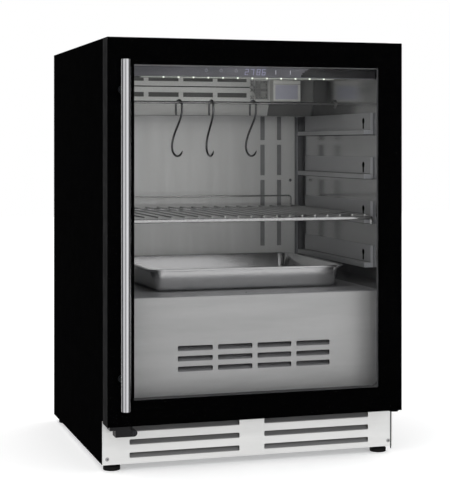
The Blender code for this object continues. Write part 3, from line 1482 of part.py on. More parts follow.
def make_lock_housing():
    left = LOCK_PLATE_INSET - HALF_WIDTH
    block = left + LOCK_PLATE_WIDTH
    neck = block + LOCK_BLOCK_WIDTH
    top = DOOR_BOTTOM - SEAT
    sleeve = BARREL_RADIUS + BARREL_WALL
    plate_bottom = top - LOCK_PLATE_HEIGHT
    outline = [(neck, top), (left, top), (left, plate_bottom), (block, plate_bottom)]
    outline.append((block, LOCK_BOTTOM))
    outline += arc((BARREL_X, BARREL_Z), sleeve, -90, 90)
    outline.append((neck, BARREL_Z + sleeve))
    housing = extruded("door_lock_housing", [outline], "Y", LOCK_FRONT, LOCK_BACK, BLACK_PLASTIC)
    bore = cylinder(
        "lock_bore",
        (BARREL_X, LOCK_FRONT - OVERRUN, BARREL_Z),
        (0, 1, 0),
        LOCK_BACK - LOCK_FRONT + OVERRUN + OVERRUN,
        BARREL_RADIUS + BARREL_CLEARANCE,
        None,
    )
    return cut(housing, bore)


def make_lock_cylinder(door):
    """The key cylinder with its cam. The cam points up, and turns behind the catch to lock."""
    front = LOCK_FRONT - BARREL_PROUD
    cam_front = LOCK_BACK + CATCH_LIP_GAP + CATCH_THICKNESS + CAM_GAP
    cam_back = cam_front + CAM_THICKNESS
    start = (BARREL_X, front, BARREL_Z)
    length = cam_back - front - SEAT
    barrel = cylinder("lock_cylinder", start, (0, 1, 0), length, BARREL_RADIUS, CHROME)
    tip = arc((BARREL_X, BARREL_Z + CAM_REACH - CAM_HALF_WIDTH), CAM_HALF_WIDTH, 0, 180)
    outline = tip + arc((BARREL_X, BARREL_Z), CAM_HALF_WIDTH, 180, 360)
    cam = extruded("lock_cam", [outline], "Y", cam_front, cam_back, None)
    join(barrel, cam)
    pivot("lock_axis", (BARREL_X, LOCK_FRONT, BARREL_Z), [barrel], door)


def make_lock_catch():
    """The catch on the plinth, whose lip stands in front of the turned cam."""
    lip_front = LOCK_BACK + CATCH_LIP_GAP
    lip_back = lip_front + CATCH_THICKNESS
    lip_right = BARREL_X - CAM_REACH + CATCH_OVERLAP
    arm_right = BARREL_X - CAM_REACH - CATCH_CLEARANCE
    arm_left = arm_right - CATCH_THICKNESS
    base_right = arm_left + CATCH_BASE_WIDTH
    back = CABINET_FRONT - SEAT
    base_front = back - CATCH_BASE_THICKNESS
    outline = [
        (arm_left, back),
        (base_right, back),
        (base_right, base_front),
        (arm_right, base_front),
        (arm_right, lip_back),
        (lip_right, lip_back),
        (lip_right, lip_front),
        (arm_left, lip_front),
    ]
    low = BARREL_Z - CATCH_HEIGHT / 2
    extruded("lock_catch", [outline], "Z", low, low + CATCH_HEIGHT, BLACK_PAINT)


clear_scene()
PARTS = new_collection("dry_aging_cabinet")
CUTTERS = new_collection("cutters")
make_wrapper()
make_liner()
make_insulation()
make_rear_and_base()
make_plinth()
make_lower_cover()
make_duct_cover()
make_cooling_unit()
make_control_panel()
make_runners()
make_shelf()
make_tray()
make_rail()
make_hooks()
make_feet()
make_machine()
make_hinges()
make_door()
make_lock_catch()
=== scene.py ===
import math

import bmesh
import bpy
from mathutils import Matrix, Vector


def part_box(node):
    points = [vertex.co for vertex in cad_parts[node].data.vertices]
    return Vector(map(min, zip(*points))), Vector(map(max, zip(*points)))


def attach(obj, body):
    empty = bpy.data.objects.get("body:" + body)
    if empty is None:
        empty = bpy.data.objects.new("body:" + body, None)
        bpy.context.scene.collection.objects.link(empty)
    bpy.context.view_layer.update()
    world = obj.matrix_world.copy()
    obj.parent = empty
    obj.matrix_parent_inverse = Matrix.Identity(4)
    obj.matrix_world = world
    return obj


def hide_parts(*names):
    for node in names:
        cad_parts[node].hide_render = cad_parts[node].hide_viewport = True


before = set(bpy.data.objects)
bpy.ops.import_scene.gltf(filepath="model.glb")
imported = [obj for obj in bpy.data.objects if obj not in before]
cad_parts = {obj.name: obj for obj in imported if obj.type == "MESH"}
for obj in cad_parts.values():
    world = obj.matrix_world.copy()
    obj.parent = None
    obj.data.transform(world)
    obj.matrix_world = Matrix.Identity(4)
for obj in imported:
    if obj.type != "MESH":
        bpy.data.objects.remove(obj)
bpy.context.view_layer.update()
scene = bpy.context.scene

# Places are (x, depth, height) in millimetres, with depth counted from the door's front face.
MM = 0.001
DEPTH_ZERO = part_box("door_outer_glass")[0][1]
ROD_END_SHARE = 0.4
BEVEL_FULLNESS = 0.6
SHARP_DEGREES = 38


def span(node):
    """A CAD node's lowest and highest corner, as places."""
    return [Vector((p[0], p[1] - DEPTH_ZERO, p[2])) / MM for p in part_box(node)]


def arc(centre, radius, start, end, steps):
    """Points on an arc in a plane, from one angle to another in degrees."""
    points = []
    for index in range(steps + 1):
        angle = math.radians(start + (end - start) * index / steps)
        points.append((centre[0] + radius * math.cos(angle), centre[1] + radius * math.sin(angle)))
    return points


def circle(centre, radius, sides):
    """Points on a whole circle in a plane."""
    return arc(centre, radius, 0, 360 * (sides - 1) / sides, sides - 1)


def round_rectangle(low, high, corner, steps=6, first=0):
    """Points round a rectangle with rounded corners; the lower right one may have its own radius, first."""
    points = []
    for index, (x, y) in enumerate(((1, 0), (1, 1), (0, 1), (0, 0))):
        radius = first if first and not index else corner
        centre = (
            high[0] - radius if x else low[0] + radius,
            high[1] - radius if y else low[1] + radius,
        )
        points += arc(centre, radius, 90 * index - 90, 90 * index, steps)
    return points


class Shape:
    """Boxes, rods, turned and swept forms collected in one mesh, in places."""

    def __init__(self):
        self.bm = bmesh.new()

    def face(self, verts, mat):
        self.bm.faces.new(verts).material_index = mat

    def bridge(self, first, second, mat):
        """Faces between two rings of as many points; a ring of one point is a tip."""
        for k in range(max(len(first), len(second))):
            corners = (
                first[k % len(first)],
                first[(k + 1) % len(first)],
                second[(k + 1) % len(second)],
                second[k % len(second)],
            )
            self.face(list(dict.fromkeys(corners)), mat)

    def box(self, low, high, mat=0, bevel=0.0):
        """A box between two corners, with edges rounded by the bevel's width."""
        low, high = Vector(low), Vector(high)
        matrix = Matrix.Translation((low + high) / 2) @ Matrix.Diagonal((*(high - low), 1.0))
        verts = bmesh.ops.create_cube(self.bm, size=1.0, matrix=matrix)["verts"]
        for face in dict.fromkeys(face for vert in verts for face in vert.link_faces):
            face.material_index = mat
        if bevel:
            edges = list(dict.fromkeys(edge for vert in verts for edge in vert.link_edges))
            bmesh.ops.bevel(
                self.bm, geom=edges, offset=bevel, segments=2, affect="EDGES",
                profile=BEVEL_FULLNESS, material=mat,
            )
        return self

    def rod(self, points, radii, sides=12, mat=0):
        """A round rod along points, with a slightly domed end at each end."""
        points = [Vector(p) for p in points]
        if not isinstance(radii, list):
            radii = [radii] * len(points)
        across = None
        rings = []
        for i, p in enumerate(points):
            run = (points[min(i + 1, len(points) - 1)] - points[max(i - 1, 0)]).normalized()
            if across is None:
                across = run.orthogonal().normalized()
            across = (across - run * across.dot(run)).normalized()
            up = run.cross(across)
            ring = []
            for k in range(sides):
                angle = math.tau * k / sides
                spoke = across * math.cos(angle) + up * math.sin(angle)
                ring.append(self.bm.verts.new(p + spoke * radii[i]))
            rings.append(ring)
        for first, second in zip(rings, rings[1:]):
            self.bridge(first, second, mat)
        for ring, i, j in ((rings[0], 0, 1), (rings[-1], -1, -2)):
            out = (points[i] - points[j]).normalized()
            self.bridge(ring, [self.bm.verts.new(points[i] + out * radii[i] * ROD_END_SHARE)], mat)
        return self

    def lathe(self, profile, origin, axis="Z", sides=32, mat=0):
        """Turns (radius, along) points round an axis; a radius of 0 closes an end."""
        turn = {
            "X": Matrix.Rotation(math.radians(90), 3, "Y"),
            "Y": Matrix.Rotation(math.radians(-90), 3, "X"),
            "Z": Matrix.Identity(3),
        }[axis]
        rings = []
        for radius, along in profile:
            line = circle((0, 0), radius, sides) if radius else [(0, 0)]
            rings.append([self.bm.verts.new(Vector(origin) + turn @ Vector((*p, along))) for p in line])
        for first, second in zip(rings, rings[1:]):
            self.bridge(first, second, mat)
        return self

    def prism(self, outline, start, end, axis="Y", mat=0):
        """A flat outline swept along an axis; its points are the other two coordinates."""
        order = {"X": (2, 0, 1), "Y": (0, 2, 1), "Z": (0, 1, 2)}[axis]
        rings = []
        for along in (start, end):
            line = [(u, v, along) for u, v in outline]
            rings.append([self.bm.verts.new([p[k] for k in order]) for p in line])
        self.bridge(rings[0], rings[1], mat)
        self.face(rings[0], mat)
        self.face(rings[1], mat)
        return self

    def band(self, outer, inner, start, end, mat=0):
        """A flat frame between two outlines of as many (x, height) points, from one depth to another."""
        loops = []
        for line, depth in ((outer, start), (outer, end), (inner, end), (inner, start)):
            loops.append([self.bm.verts.new((u, depth, v)) for u, v in line])
        for index in range(4):
            self.bridge(loops[index], loops[(index + 1) % 4], mat)
        return self

    def done(self, name, looks, body, slot, replaces=()):
        """Makes the object, which rides on a body and takes its finish from the looks; the slot is not used.
        """
        for v in self.bm.verts:
            v.co = v.co * MM + Vector((0, DEPTH_ZERO, 0))
        bmesh.ops.recalc_face_normals(self.bm, faces=self.bm.faces)
        mesh = bpy.data.meshes.new(name)
        self.bm.to_mesh(mesh)
        self.bm.free()
        for look in looks if isinstance(looks, list) else [looks]:
            mesh.materials.append(look)
        mesh.shade_smooth()
        mesh.set_sharp_from_angle(angle=math.radians(SHARP_DEGREES))
        obj = bpy.data.objects.new(name, mesh)
        scene.collection.objects.link(obj)
        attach(obj, body)
        if replaces:
            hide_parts(*replaces)
        return obj


class Look:
    """A Principled material, with helpers that add procedural detail to it."""

    def __init__(self, name, colour, rough, metal=0.0, specular=0.5, alpha=1.0):
        self.material = bpy.data.materials.new(name)
        self.material.use_nodes = True
        self.material.diffuse_color = (*colour, 1)
        self.nodes = self.material.node_tree.nodes
        self.links = self.material.node_tree.links
        self.colour = colour
        self.inputs = self.nodes["Principled BSDF"].inputs
        self.inputs["Base Color"].default_value = (*colour, 1)
        self.inputs["Roughness"].default_value = rough
        self.inputs["Metallic"].default_value = metal
        self.inputs["Specular IOR Level"].default_value = specular
        self.inputs["Alpha"].default_value = alpha

    def noise(self, scale, stretch=(1, 1, 1), detail=3.0):
        """A noise over the object's own metres; an axis with a smaller scale has longer marks."""
        coordinates = self.nodes.new("ShaderNodeTexCoord")
        mapping = self.nodes.new("ShaderNodeMapping")
        mapping.inputs["Scale"].default_value = stretch
        texture = self.nodes.new("ShaderNodeTexNoise")
        texture.inputs["Scale"].default_value = scale
        texture.inputs["Detail"].default_value = detail
        self.links.new(coordinates.outputs["Object"], mapping.inputs["Vector"])
        self.links.new(mapping.outputs["Vector"], texture.inputs["Vector"])
        return texture.outputs["Fac"]

    def spread(self, value, low, high):
        """Takes the middle of a noise, from 0.3 to 0.7, to a range of its own."""
        node = self.nodes.new("ShaderNodeMapRange")
        node.inputs["From Min"].default_value = 0.3
        node.inputs["From Max"].default_value = 0.7
        node.inputs["To Min"].default_value = low
        node.inputs["To Max"].default_value = high
        self.links.new(value, node.inputs["Value"])
        return node.outputs["Result"]

    def tint(self, value, dark, light):
        """Varies the colour with a noise, between two shares of its brightness."""
        mix = self.nodes.new("ShaderNodeMix")
        mix.data_type = "RGBA"
        for socket, share in (("A", dark), ("B", light)):
            mix.inputs[socket].default_value = (*[min(1.0, part * share) for part in self.colour], 1)
        self.links.new(self.spread(value, 0, 1), mix.inputs["Factor"])
        self.links.new(mix.outputs["Result"], self.inputs["Base Color"])

    def vary_roughness(self, value, low, high):
        self.links.new(self.spread(value, low, high), self.inputs["Roughness"])

    def relief(self, value, depth):
        """Raises the surface with a noise, by a depth in millimetres."""
        bump = self.nodes.new("ShaderNodeBump")
        bump.inputs["Distance"].default_value = depth * MM
        self.links.new(value, bump.inputs["Height"])
        self.links.new(bump.outputs["Normal"], self.inputs["Normal"])

    def glow(self, colour, strength):
        self.inputs["Emission Color"].default_value = (*colour, 1)
        self.inputs["Emission Strength"].default_value = strength
        return self.material


def drawn_out(along, across):
    """Scales that draw a noise out along one axis, so many times longer than it is across."""
    scales = [across] * 3
    scales["XYZ".index(along)] = 1
    return scales


def steel(name, colour, rough, along, metal=1.0, depth=0.004, tone=0.05):
    """Brushed sheet or tube: fine streaks along one axis, and a broad, faint change of tone."""
    look = Look(name, colour, rough, metal)
    look.tint(look.noise(5, drawn_out(along, 9), 4), 1 - tone, 1 + tone)
    streaks = look.noise(16, drawn_out(along, 90), 2)
    look.vary_roughness(streaks, rough * 0.85, rough * 1.2)
    look.relief(streaks, depth)
    return look.material


def moulded(name, colour, rough, specular=0.3, grain=0.03, size=900):
    """Painted or moulded surface: a fine grain with slightly uneven tone and gloss."""
    look = Look(name, colour, rough, 0.0, specular)
    look.tint(look.noise(14), 0.85, 1.15)
    look.vary_roughness(look.noise(40), rough * 0.9, min(1.0, rough * 1.1))
    look.relief(look.noise(size, detail=2), grain)
    return look.material


def glazing(name, colour, rough, specular, alpha):
    """Clear glass with a hardly visible wave."""
    look = Look(name, colour, rough, 0.0, specular, alpha)
    look.relief(look.noise(1.5, detail=1), 0.003)
    return look.material


PLINTH_STEEL = steel("plinth_steel", (0.82, 0.82, 0.81), 0.34, "X", 0.5)
COVER_STEEL = steel("cover_steel", (0.68, 0.68, 0.68), 0.55, "X", 0.4)
# Blade steel darkened as painted shade of the blades inside their slots.
SHADED_LOUVRE_STEEL = steel("louvre_steel_painted_shade", (0.30, 0.30, 0.31), 0.45, "X", 0.75)
SHADED_GRILLE_BLADE_STEEL = steel("grille_blade_steel_painted_shade", (0.34, 0.34, 0.345), 0.45, "X", 0.6)
REAR_STEEL = steel("rear_steel", (0.88, 0.88, 0.88), 0.42, "Z", 0.4)
UNIT_STEEL = steel("unit_steel", (0.84, 0.84, 0.83), 0.34, "X", 0.5)
FLOOR_STEEL = steel("floor_steel", (0.34, 0.34, 0.35), 0.40, "X", 0.3)
RUNNER_STEEL = steel("runner_steel", (0.47, 0.47, 0.48), 0.35, "Y", 0.7, 0.001, 0.02)
# A lighter copy of the runner steel for the runners' front edges: a painted highlight.
RUNNER_EDGE_HIGHLIGHT = steel("runner_edge_highlight", (0.66, 0.67, 0.70), 0.40, "Z", 0.3, 0.001)
LINER_STEEL = steel("liner_steel", (0.46, 0.46, 0.465), 0.14, "Y", 0.92, 0.001)
HANDLE_STEEL = steel("handle_steel", (0.68, 0.68, 0.70), 0.20, "Z", 1.0, 0.002)
POST_STEEL = steel("post_steel", (0.05, 0.05, 0.055), 0.35, "Y")
ROD_STEEL = steel("rod_steel", (0.36, 0.36, 0.36), 0.21, "X", 0.8, 0.002)
TRAY_STEEL = steel("tray_steel", (0.72, 0.72, 0.725), 0.21, "X", 1.0, 0.002, 0.015)
# The hook steel is darkened as a painted reflection of the dark surroundings the hooks mirror.
HOOK_STEEL = steel("hook_steel", (0.30, 0.30, 0.31), 0.20, "Z", 1.0, 0.002)
SHELF_CHROME = steel("shelf_chrome", (0.66, 0.66, 0.66), 0.18, "Y", 0.85, 0.001)
# The wires' chrome is darkened as painted shade of their dark sides.
SHADED_WIRE_CHROME = steel("wire_chrome_painted_shade", (0.36, 0.36, 0.36), 0.14, "Y", 1.0, 0.001)
ZINC_SHEET = steel("zinc_sheet", (0.46, 0.47, 0.48), 0.5, "Z", 0.45)
SCREW_STEEL = steel("screw_steel", (0.50, 0.50, 0.51), 0.28, "X")
SPACER_METAL = steel("spacer_metal", (0.55, 0.55, 0.55), 0.30, "X")
# The fin colour is darkened as painted shade of the fins inside their housings.
FIN_METAL = steel("fin_metal", (0.16, 0.16, 0.165), 0.4, "Z", 0.8)

PRINTED_BLACK = moulded("printed_black", (0.0005, 0.0005, 0.0005), 0.6, 0.0)
POWDER_BLACK = moulded("powder_black", (0.0008, 0.0008, 0.0009), 0.5, 0.0001, 0.02, 1400)
FRAME_BLACK = moulded("frame_black", (0.0040, 0.0040, 0.0044), 0.5, 0.006)
PLASTIC_BLACK = moulded("plastic_black", (0.0060, 0.0060, 0.0065), 0.5, 0.1)
LOCK_BLACK = moulded("lock_black", (0.0070, 0.0070, 0.0080), 0.4, 0.2)
FOOT_BLACK = moulded("foot_black", (0.0060, 0.0060, 0.0060), 0.6, 0.15)
SEAL_GREY = moulded("seal_grey", (0.050, 0.050, 0.052), 0.5, 0.1)
SEAL_DARK = moulded("seal_dark", (0.045, 0.045, 0.045), 0.5, 0.1)
GASKET_RUBBER = moulded("gasket_black", (0.010, 0.010, 0.010), 0.75, 0.1, 0.06, 500)
# Black for the unit's seams, and painted shade in screw crosses, runner keyholes, the key slot and under the
# runners' ledges.
SEAM_AND_SHADE_BLACK = moulded("seam_and_painted_shade_black", (0.0020, 0.0020, 0.0020), 0.9, 0.0)
COMPRESSOR_BLACK = moulded("compressor_black", (0.010, 0.010, 0.011), 0.4, 0.4)
FOAM = moulded("insulation_foam", (0.62, 0.55, 0.36), 0.9, 0.2, 0.4, 180)
FASCIA_GREY = moulded("fascia_grey", (0.285, 0.283, 0.31), 0.4, 0.3)
# Dark grey that paints shade, on the fascia's right end and at the plinth's right edge.
FASCIA_PAINTED_SHADE = moulded("fascia_painted_shade", (0.065, 0.065, 0.068), 0.4, 0.3)
BOX_GREY = moulded("box_grey", (0.80, 0.80, 0.78), 0.5, 0.3)
BOX_BLUE = moulded("box_blue", (0.56, 0.56, 0.66), 0.45, 0.3)
# Dark grey that paints shade on the cooling unit and over the runners' ledges, and draws the line above the
# sensor window.
UNIT_DARK = moulded("unit_dark", (0.16, 0.16, 0.16), 0.5, 0.2)
# Near white on the wires' cut ends: a painted highlight.
WIRE_END_HIGHLIGHT = moulded("wire_end_painted_highlight", (0.92, 0.92, 0.92), 0.4, 0.5)
DUCT_SIDE = moulded("duct_side", (0.36, 0.36, 0.38), 0.5, 0.2)
# Grey that paints the shade on the cooling unit's right end.
UNIT_END_SHADE = moulded("unit_end_painted_shade", (0.26, 0.26, 0.26), 0.5, 0.2)
# Grey that paints the shaded inside of the duct, seen through the cover's slots.
DUCT_INSIDE_SHADE = moulded("duct_inside_painted_shade", (0.30, 0.30, 0.31), 0.6, 0.2)
DIFFUSER = moulded("light_diffuser", (0.30, 0.30, 0.28), 0.4, 0.4)

LED_GLOW = Look("led_glow", (0.9, 0.9, 0.85), 0.3).glow((0.95, 1.0, 0.88), 1.0)
STRIP_GLOW = Look("strip_glow", (0.6, 0.6, 0.58), 0.4).glow((0.92, 1.0, 0.88), 0.28)
DIGIT_GLOW = Look("digit_glow", (0.5, 0.5, 0.7), 0.3).glow((0.72, 0.72, 0.95), 0.30)
ICON_GLOW = Look("icon_glow", (0.5, 0.5, 0.55), 0.3).glow((0.7, 0.7, 0.8), 0.06)
TICK_GLOW = Look("tick_glow", (0.7, 0.7, 0.72), 0.3).glow((0.8, 0.8, 0.9), 0.4)
PANE = glazing("pane_glass", (0.006, 0.006, 0.007), 0.03, 0.015, 0.05)

# The finish of each CAD node that stays, and the width in millimetres that its sharp edges are rounded by
FINISHES = {
    "cabinet_wrapper": (POWDER_BLACK, 0.4),
    "liner": (LINER_STEEL, 0),
    "rear_panel": (ZINC_SHEET, 0.3),
    "rear_service_grille": (ZINC_SHEET, 0.2),
    "base_pan": (ZINC_SHEET, 0.3),
    "plinth_grille": (PLINTH_STEEL, 0.3),
    "lower_cover": (COVER_STEEL, 0.3),
    "floor_plate": (FLOOR_STEEL, 0.3),
    "rear_duct_cover": (REAR_STEEL, 0.2),
    "evaporator_cover": (UNIT_STEEL, 0.2),
    "control_fascia": (FASCIA_GREY, 0),
    "light_strip": (DIFFUSER, 0.3),
    "sensor_box": (BOX_GREY, 0),
    "evaporator": (FIN_METAL, 0),
    "condenser": (FIN_METAL, 0),
    "evaporator_fan_frame": (PLASTIC_BLACK, 0.3),
    "evaporator_fan_rotor": (PLASTIC_BLACK, 0.2),
    "condenser_fan_frame": (PLASTIC_BLACK, 0.4),
    "condenser_fan_rotor": (PLASTIC_BLACK, 0.3),
    "compressor": (COMPRESSOR_BLACK, 0.5),
    "power_inlet": (PLASTIC_BLACK, 0.4),
    "insulation_left": (FOAM, 0),
    "insulation_right": (FOAM, 0),
    "insulation_top_rear": (FOAM, 0),
    "insulation_base": (FOAM, 0),
    "door_outer_glass": (PANE, 0),
    "door_inner_glass": (PANE, 0),
    "door_stile_left": (FRAME_BLACK, 0.4),
    "door_stile_right": (FRAME_BLACK, 0.4),
    "door_rail_top": (FRAME_BLACK, 0.4),
    "door_rail_bottom": (FRAME_BLACK, 0.4),
    "door_spacer": (SPACER_METAL, 0),
    "door_gasket": (GASKET_RUBBER, 0.5),
    "door_lock_housing": (LOCK_BLACK, 0.8),
    "lock_cylinder": (LOCK_BLACK, 0.2),
    "lock_catch": (FRAME_BLACK, 0.3),
    "hinge_bracket_upper": (FRAME_BLACK, 0.3),
    "hinge_bracket_lower": (FRAME_BLACK, 0.3),
}
for side in ("left", "right"):
    for level in range(1, 5):
        FINISHES[f"runner_{side}_{level}"] = (RUNNER_STEEL, 0.25)


def dress(node, look, rounding):
    """Gives a CAD node its material, and rounds its sharp edges."""
    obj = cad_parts[node]
    for slot in obj.material_slots:
        slot.material = look
    if rounding:
        weld = obj.modifiers.new("weld", "WELD")
        weld.merge_threshold = 0.02 * MM
        edge = obj.modifiers.new("edge", "BEVEL")
        edge.width = rounding * MM
        edge.segments = 2
        edge.limit_method = "ANGLE"
        edge.angle_limit = math.radians(SHARP_DEGREES)


# The print's width on each side, and the seal's beside it
PRINT_SIDE = 50.9
PRINT_TOP = 50.3
PRINT_BOTTOM = 48.4
SEAL_LEFT = 0.5
SEAL_SIDE = 3.3
SEAL_TOP = 0.8
SEAL_BOTTOM = 4.8
SEAL_LIP_SHARE = 0.5
PRINT_EDGE = 0.3
PRINT_DEPTHS = (0.05, 0.2)
SEAL_DEPTHS = (0.22, 0.3)


def window_line(seal_share, corner):
    """The window's outline at a share of the seal's width, from the print's edge at 0 to its inside at 1."""
    low, high = span("door_outer_glass")
    left = low.x + PRINT_SIDE + SEAL_LEFT * seal_share
    right = high.x - PRINT_SIDE - SEAL_SIDE * seal_share
    bottom = low.z + PRINT_BOTTOM + SEAL_BOTTOM * seal_share
    top = high.z - PRINT_TOP - SEAL_TOP * seal_share
    return round_rectangle((left, bottom), (right, top), 0.5, 6, corner)


def make_door():
    """The black print behind the outer pane, and the grey seal with its dark line inside the print."""
    low, high = span("door_outer_glass")
    corners = (low.x + PRINT_EDGE, low.z + PRINT_EDGE), (high.x - PRINT_EDGE, high.z - PRINT_EDGE)
    start, end = [high.y + depth for depth in PRINT_DEPTHS]
    printed = Shape().band(round_rectangle(*corners, 0.8), window_line(0, 0.5), start, end)
    printed.done("door_black_print", PRINTED_BLACK, "door", "black_paint")
    start, end = [high.y + depth for depth in SEAL_DEPTHS]
    lip = window_line(SEAL_LIP_SHARE, 9)
    seal = Shape()
    seal.band(window_line(-0.1, 0.5), lip, start, end, 0)
    seal.band(lip, window_line(1, 10), start, end, 1)
    seal.done("door_window_seal", [SEAL_GREY, SEAL_DARK], "door", "black_plastic")


POST_NECK_INSET = 1.4
POST_HEAD = 6.4


def make_handle():
    """The tube with its closed ends, and the two turned posts behind it."""
    low, high = span("handle_bar")
    middle = (low + high) / 2
    radius = (high.x - low.x) / 2
    half = [(0, low.z), (radius - 1.1, low.z), (radius - 0.3, low.z + 0.4), (radius, low.z + 1.2)]
    profile = half + [(r, low.z + high.z - z) for r, z in reversed(half)]
    tube = Shape().lathe(profile, (middle.x, middle.y, 0), "Z", 48)
    tube.done("handle_tube", HANDLE_STEEL, "door", "brushed_stainless", ("handle_bar",))
    for name in ("handle_post_upper", "handle_post_lower"):
        low, high = span(name)
        radius = (high.x - low.x) / 2
        neck = radius - POST_NECK_INSET
        head = high.y - POST_HEAD
        profile = [(0, low.y), (neck, low.y), (neck, head - 2), (radius - 0.4, head - 1), (radius, head)]
        profile += [(radius, high.y - 0.9), (radius - 0.3, high.y), (0, high.y)]
        post = Shape().lathe(profile, ((low.x + high.x) / 2, 0, (low.z + high.z) / 2), "Y", 36)
        post.done(name + "_turned", POST_STEEL, "door", "dark_stainless", (name,))


RAIL_RADIUS = 2.5
RAIL_FLANGE = 2.9
RAIL_FILLET = 0.7


def make_rail():
    """The rail, with a round flange at each wall."""
    low, high = span("hanging_rail")
    centre = (low + high) / 2
    flange = (high.z - low.z) / 2
    face = low.x + RAIL_FLANGE
    half = [(0, low.x), (flange, low.x), (flange, face - 0.7), (flange - 0.8, face)]
    half += [(RAIL_RADIUS + RAIL_FILLET, face), (RAIL_RADIUS, face + RAIL_FILLET)]
    profile = half + [(radius, -along) for radius, along in reversed(half)]
    rail = Shape().lathe(profile, (0, centre.y, centre.z), "X", 28)
    rail.done("hanging_rail_turned", ROD_STEEL, "cabinet", "brushed_stainless", ("hanging_rail",))


# The hook's wire and bends by radius, the rest by length; each hook's place along the rail, and its turn
HOOK_WIRE = 2.3
HOOK_LENGTH = 118
HOOK_BENDS = (11, 20)
HOOK_LEG = 20
HOOK_LEG_STEPS = 5
HOOK_SHOULDER = 9
HOOK_SIDE = -5.5
HOOK_BEND_STEPS = 17
HOOK_BEND_PULLS = ((2.5, -22), (0, 29))
HOOK_END_DEGREES = 335
HOOK_POINT_SHARES = [0.95, 0.8, 0.55, 0.25]
HOOK_PLACES = (("left", -80, 20), ("middle", -9, 7), ("right", 84, 18))


def hook_line():
    """The hook's S in its own plane, across and up from the rail's centre: a leg, an arc, a bend, an arc."""
    top = RAIL_RADIUS + 0.3 + HOOK_WIRE
    upper_radius, lower_radius = HOOK_BENDS
    upper = Vector((0, top - upper_radius))
    lower = Vector((HOOK_SIDE, top - HOOK_LENGTH + lower_radius))
    step = HOOK_LEG / HOOK_LEG_STEPS
    line = [(-upper_radius, upper.y - HOOK_LEG + step * index) for index in range(HOOK_LEG_STEPS)]
    line += arc(upper, upper_radius, 180, 0, 14)
    start = Vector((upper_radius, upper.y - HOOK_SHOULDER))
    end = Vector((lower.x - lower_radius, lower.y))
    first, second = HOOK_BEND_PULLS
    pulls = [start, start + Vector(first), end + Vector(second), end]
    for index in range(HOOK_BEND_STEPS):
        share = index / HOOK_BEND_STEPS
        rest = 1 - share
        weights = [rest ** 3, 3 * share * rest ** 2, 3 * share ** 2 * rest, share ** 3]
        point = sum((pull * weight for pull, weight in zip(pulls, weights)), Vector((0, 0)))
        line.append(tuple(point))
    return line + arc(lower, lower_radius, 180, HOOK_END_DEGREES, 16)


def make_hooks():
    """Bent from wire, each at its own slight turn round the vertical, and pointed at the lower end."""
    rail = (span("hanging_rail")[0] + span("hanging_rail")[1]) / 2
    line = hook_line()
    shares = [0.9] + [1.0] * (len(line) - 1 - len(HOOK_POINT_SHARES)) + HOOK_POINT_SHARES
    for name, x, degrees in HOOK_PLACES:
        turn = math.radians(degrees)
        points = [(x + u * math.sin(turn), rail.y - u * math.cos(turn), rail.z + v) for u, v in line]
        hook = Shape().rod(points, [HOOK_WIRE * share for share in shares], 14)
        hook.done(f"hook_{name}_wire", HOOK_STEEL, "meat_hook_" + name, "chrome", ("meat_hook_" + name,))


def bent_rod(half, depth, base, top, corner=6):
    """A line that stands up at both ends and runs across, with a bend at each corner."""
    line = [(-half, depth, base)]
    line += [(x, depth, z) for x, z in arc((corner - half, top - corner), corner, 180, 90, 6)]
    return line + [(-x, y, z) for x, y, z in reversed(line)]


SHELF_ROD = 4.0
SHELF_WIRE = 1.75
SHELF_GUARD = 2
SHELF_PITCH = 26.6
SHELF_WIRES_EACH_SIDE = 9
SHELF_LEVEL = 12
REAR_ROD_RISE = 2
GUARD_INSET = 23
WIRE_LIFT = 1.2


def make_shelf():
    """The bent front rod, the rear and side rods, the guard, and the wires with their bent front ends, whose
    cut ends are near white as a painted highlight.
    """
    low, high = span("shelf")
    front, back = low.y + SHELF_ROD, high.y - SHELF_ROD
    level = low.z + SHELF_LEVEL
    rear = level + REAR_ROD_RISE
    rods = Shape()
    rods.rod(bent_rod(high.x - SHELF_ROD, front, low.z, level), SHELF_ROD, 16)
    rods.rod([(1 - high.x, back, rear), (high.x - 1, back, rear)], SHELF_ROD, 14)
    for x in (5 - high.x, high.x - 5):
        rods.rod([(x, front, level), (x, front + 12, rear), (x, back + 1.5, rear)], SHELF_ROD - 0.3, 12)
    rods.rod(bent_rod(high.x - GUARD_INSET, back, level, high.z - SHELF_GUARD), SHELF_GUARD, 12)
    rods.done("shelf_frame", SHELF_CHROME, "shelf", "chrome", ("shelf",))
    wires = Shape()
    height = level + SHELF_ROD + SHELF_WIRE + WIRE_LIFT
    cut_end = [(0, -0.7), (1.2, -0.6), (1.9, 0), (1.9, 0.8), (0, 0.8)]
    for index in range(-SHELF_WIRES_EACH_SIDE, SHELF_WIRES_EACH_SIDE + 1):
        x = index * SHELF_PITCH
        points = [(x, front - 2.2, height - 2.0), (x, front - 0.8, height - 0.6), (x, front + 1.2, height)]
        wires.rod(points + [(x, back + 1.6, height)], SHELF_WIRE, 10)
        # Each wire's cut end, coloured as a painted highlight.
        wires.lathe(cut_end, (x, front - 2.4, height - 1), "Y", 12, 1)
    wires.done("shelf_wires", [SHADED_WIRE_CHROME, WIRE_END_HIGHLIGHT], "shelf", "chrome", ("shelf",))


TRAY_SHEET = 0.8
TRAY_CORNER = 30
TRAY_RIM = 8
TRAY_TAPER = 10
TRAY_BASE_ROUND = 8


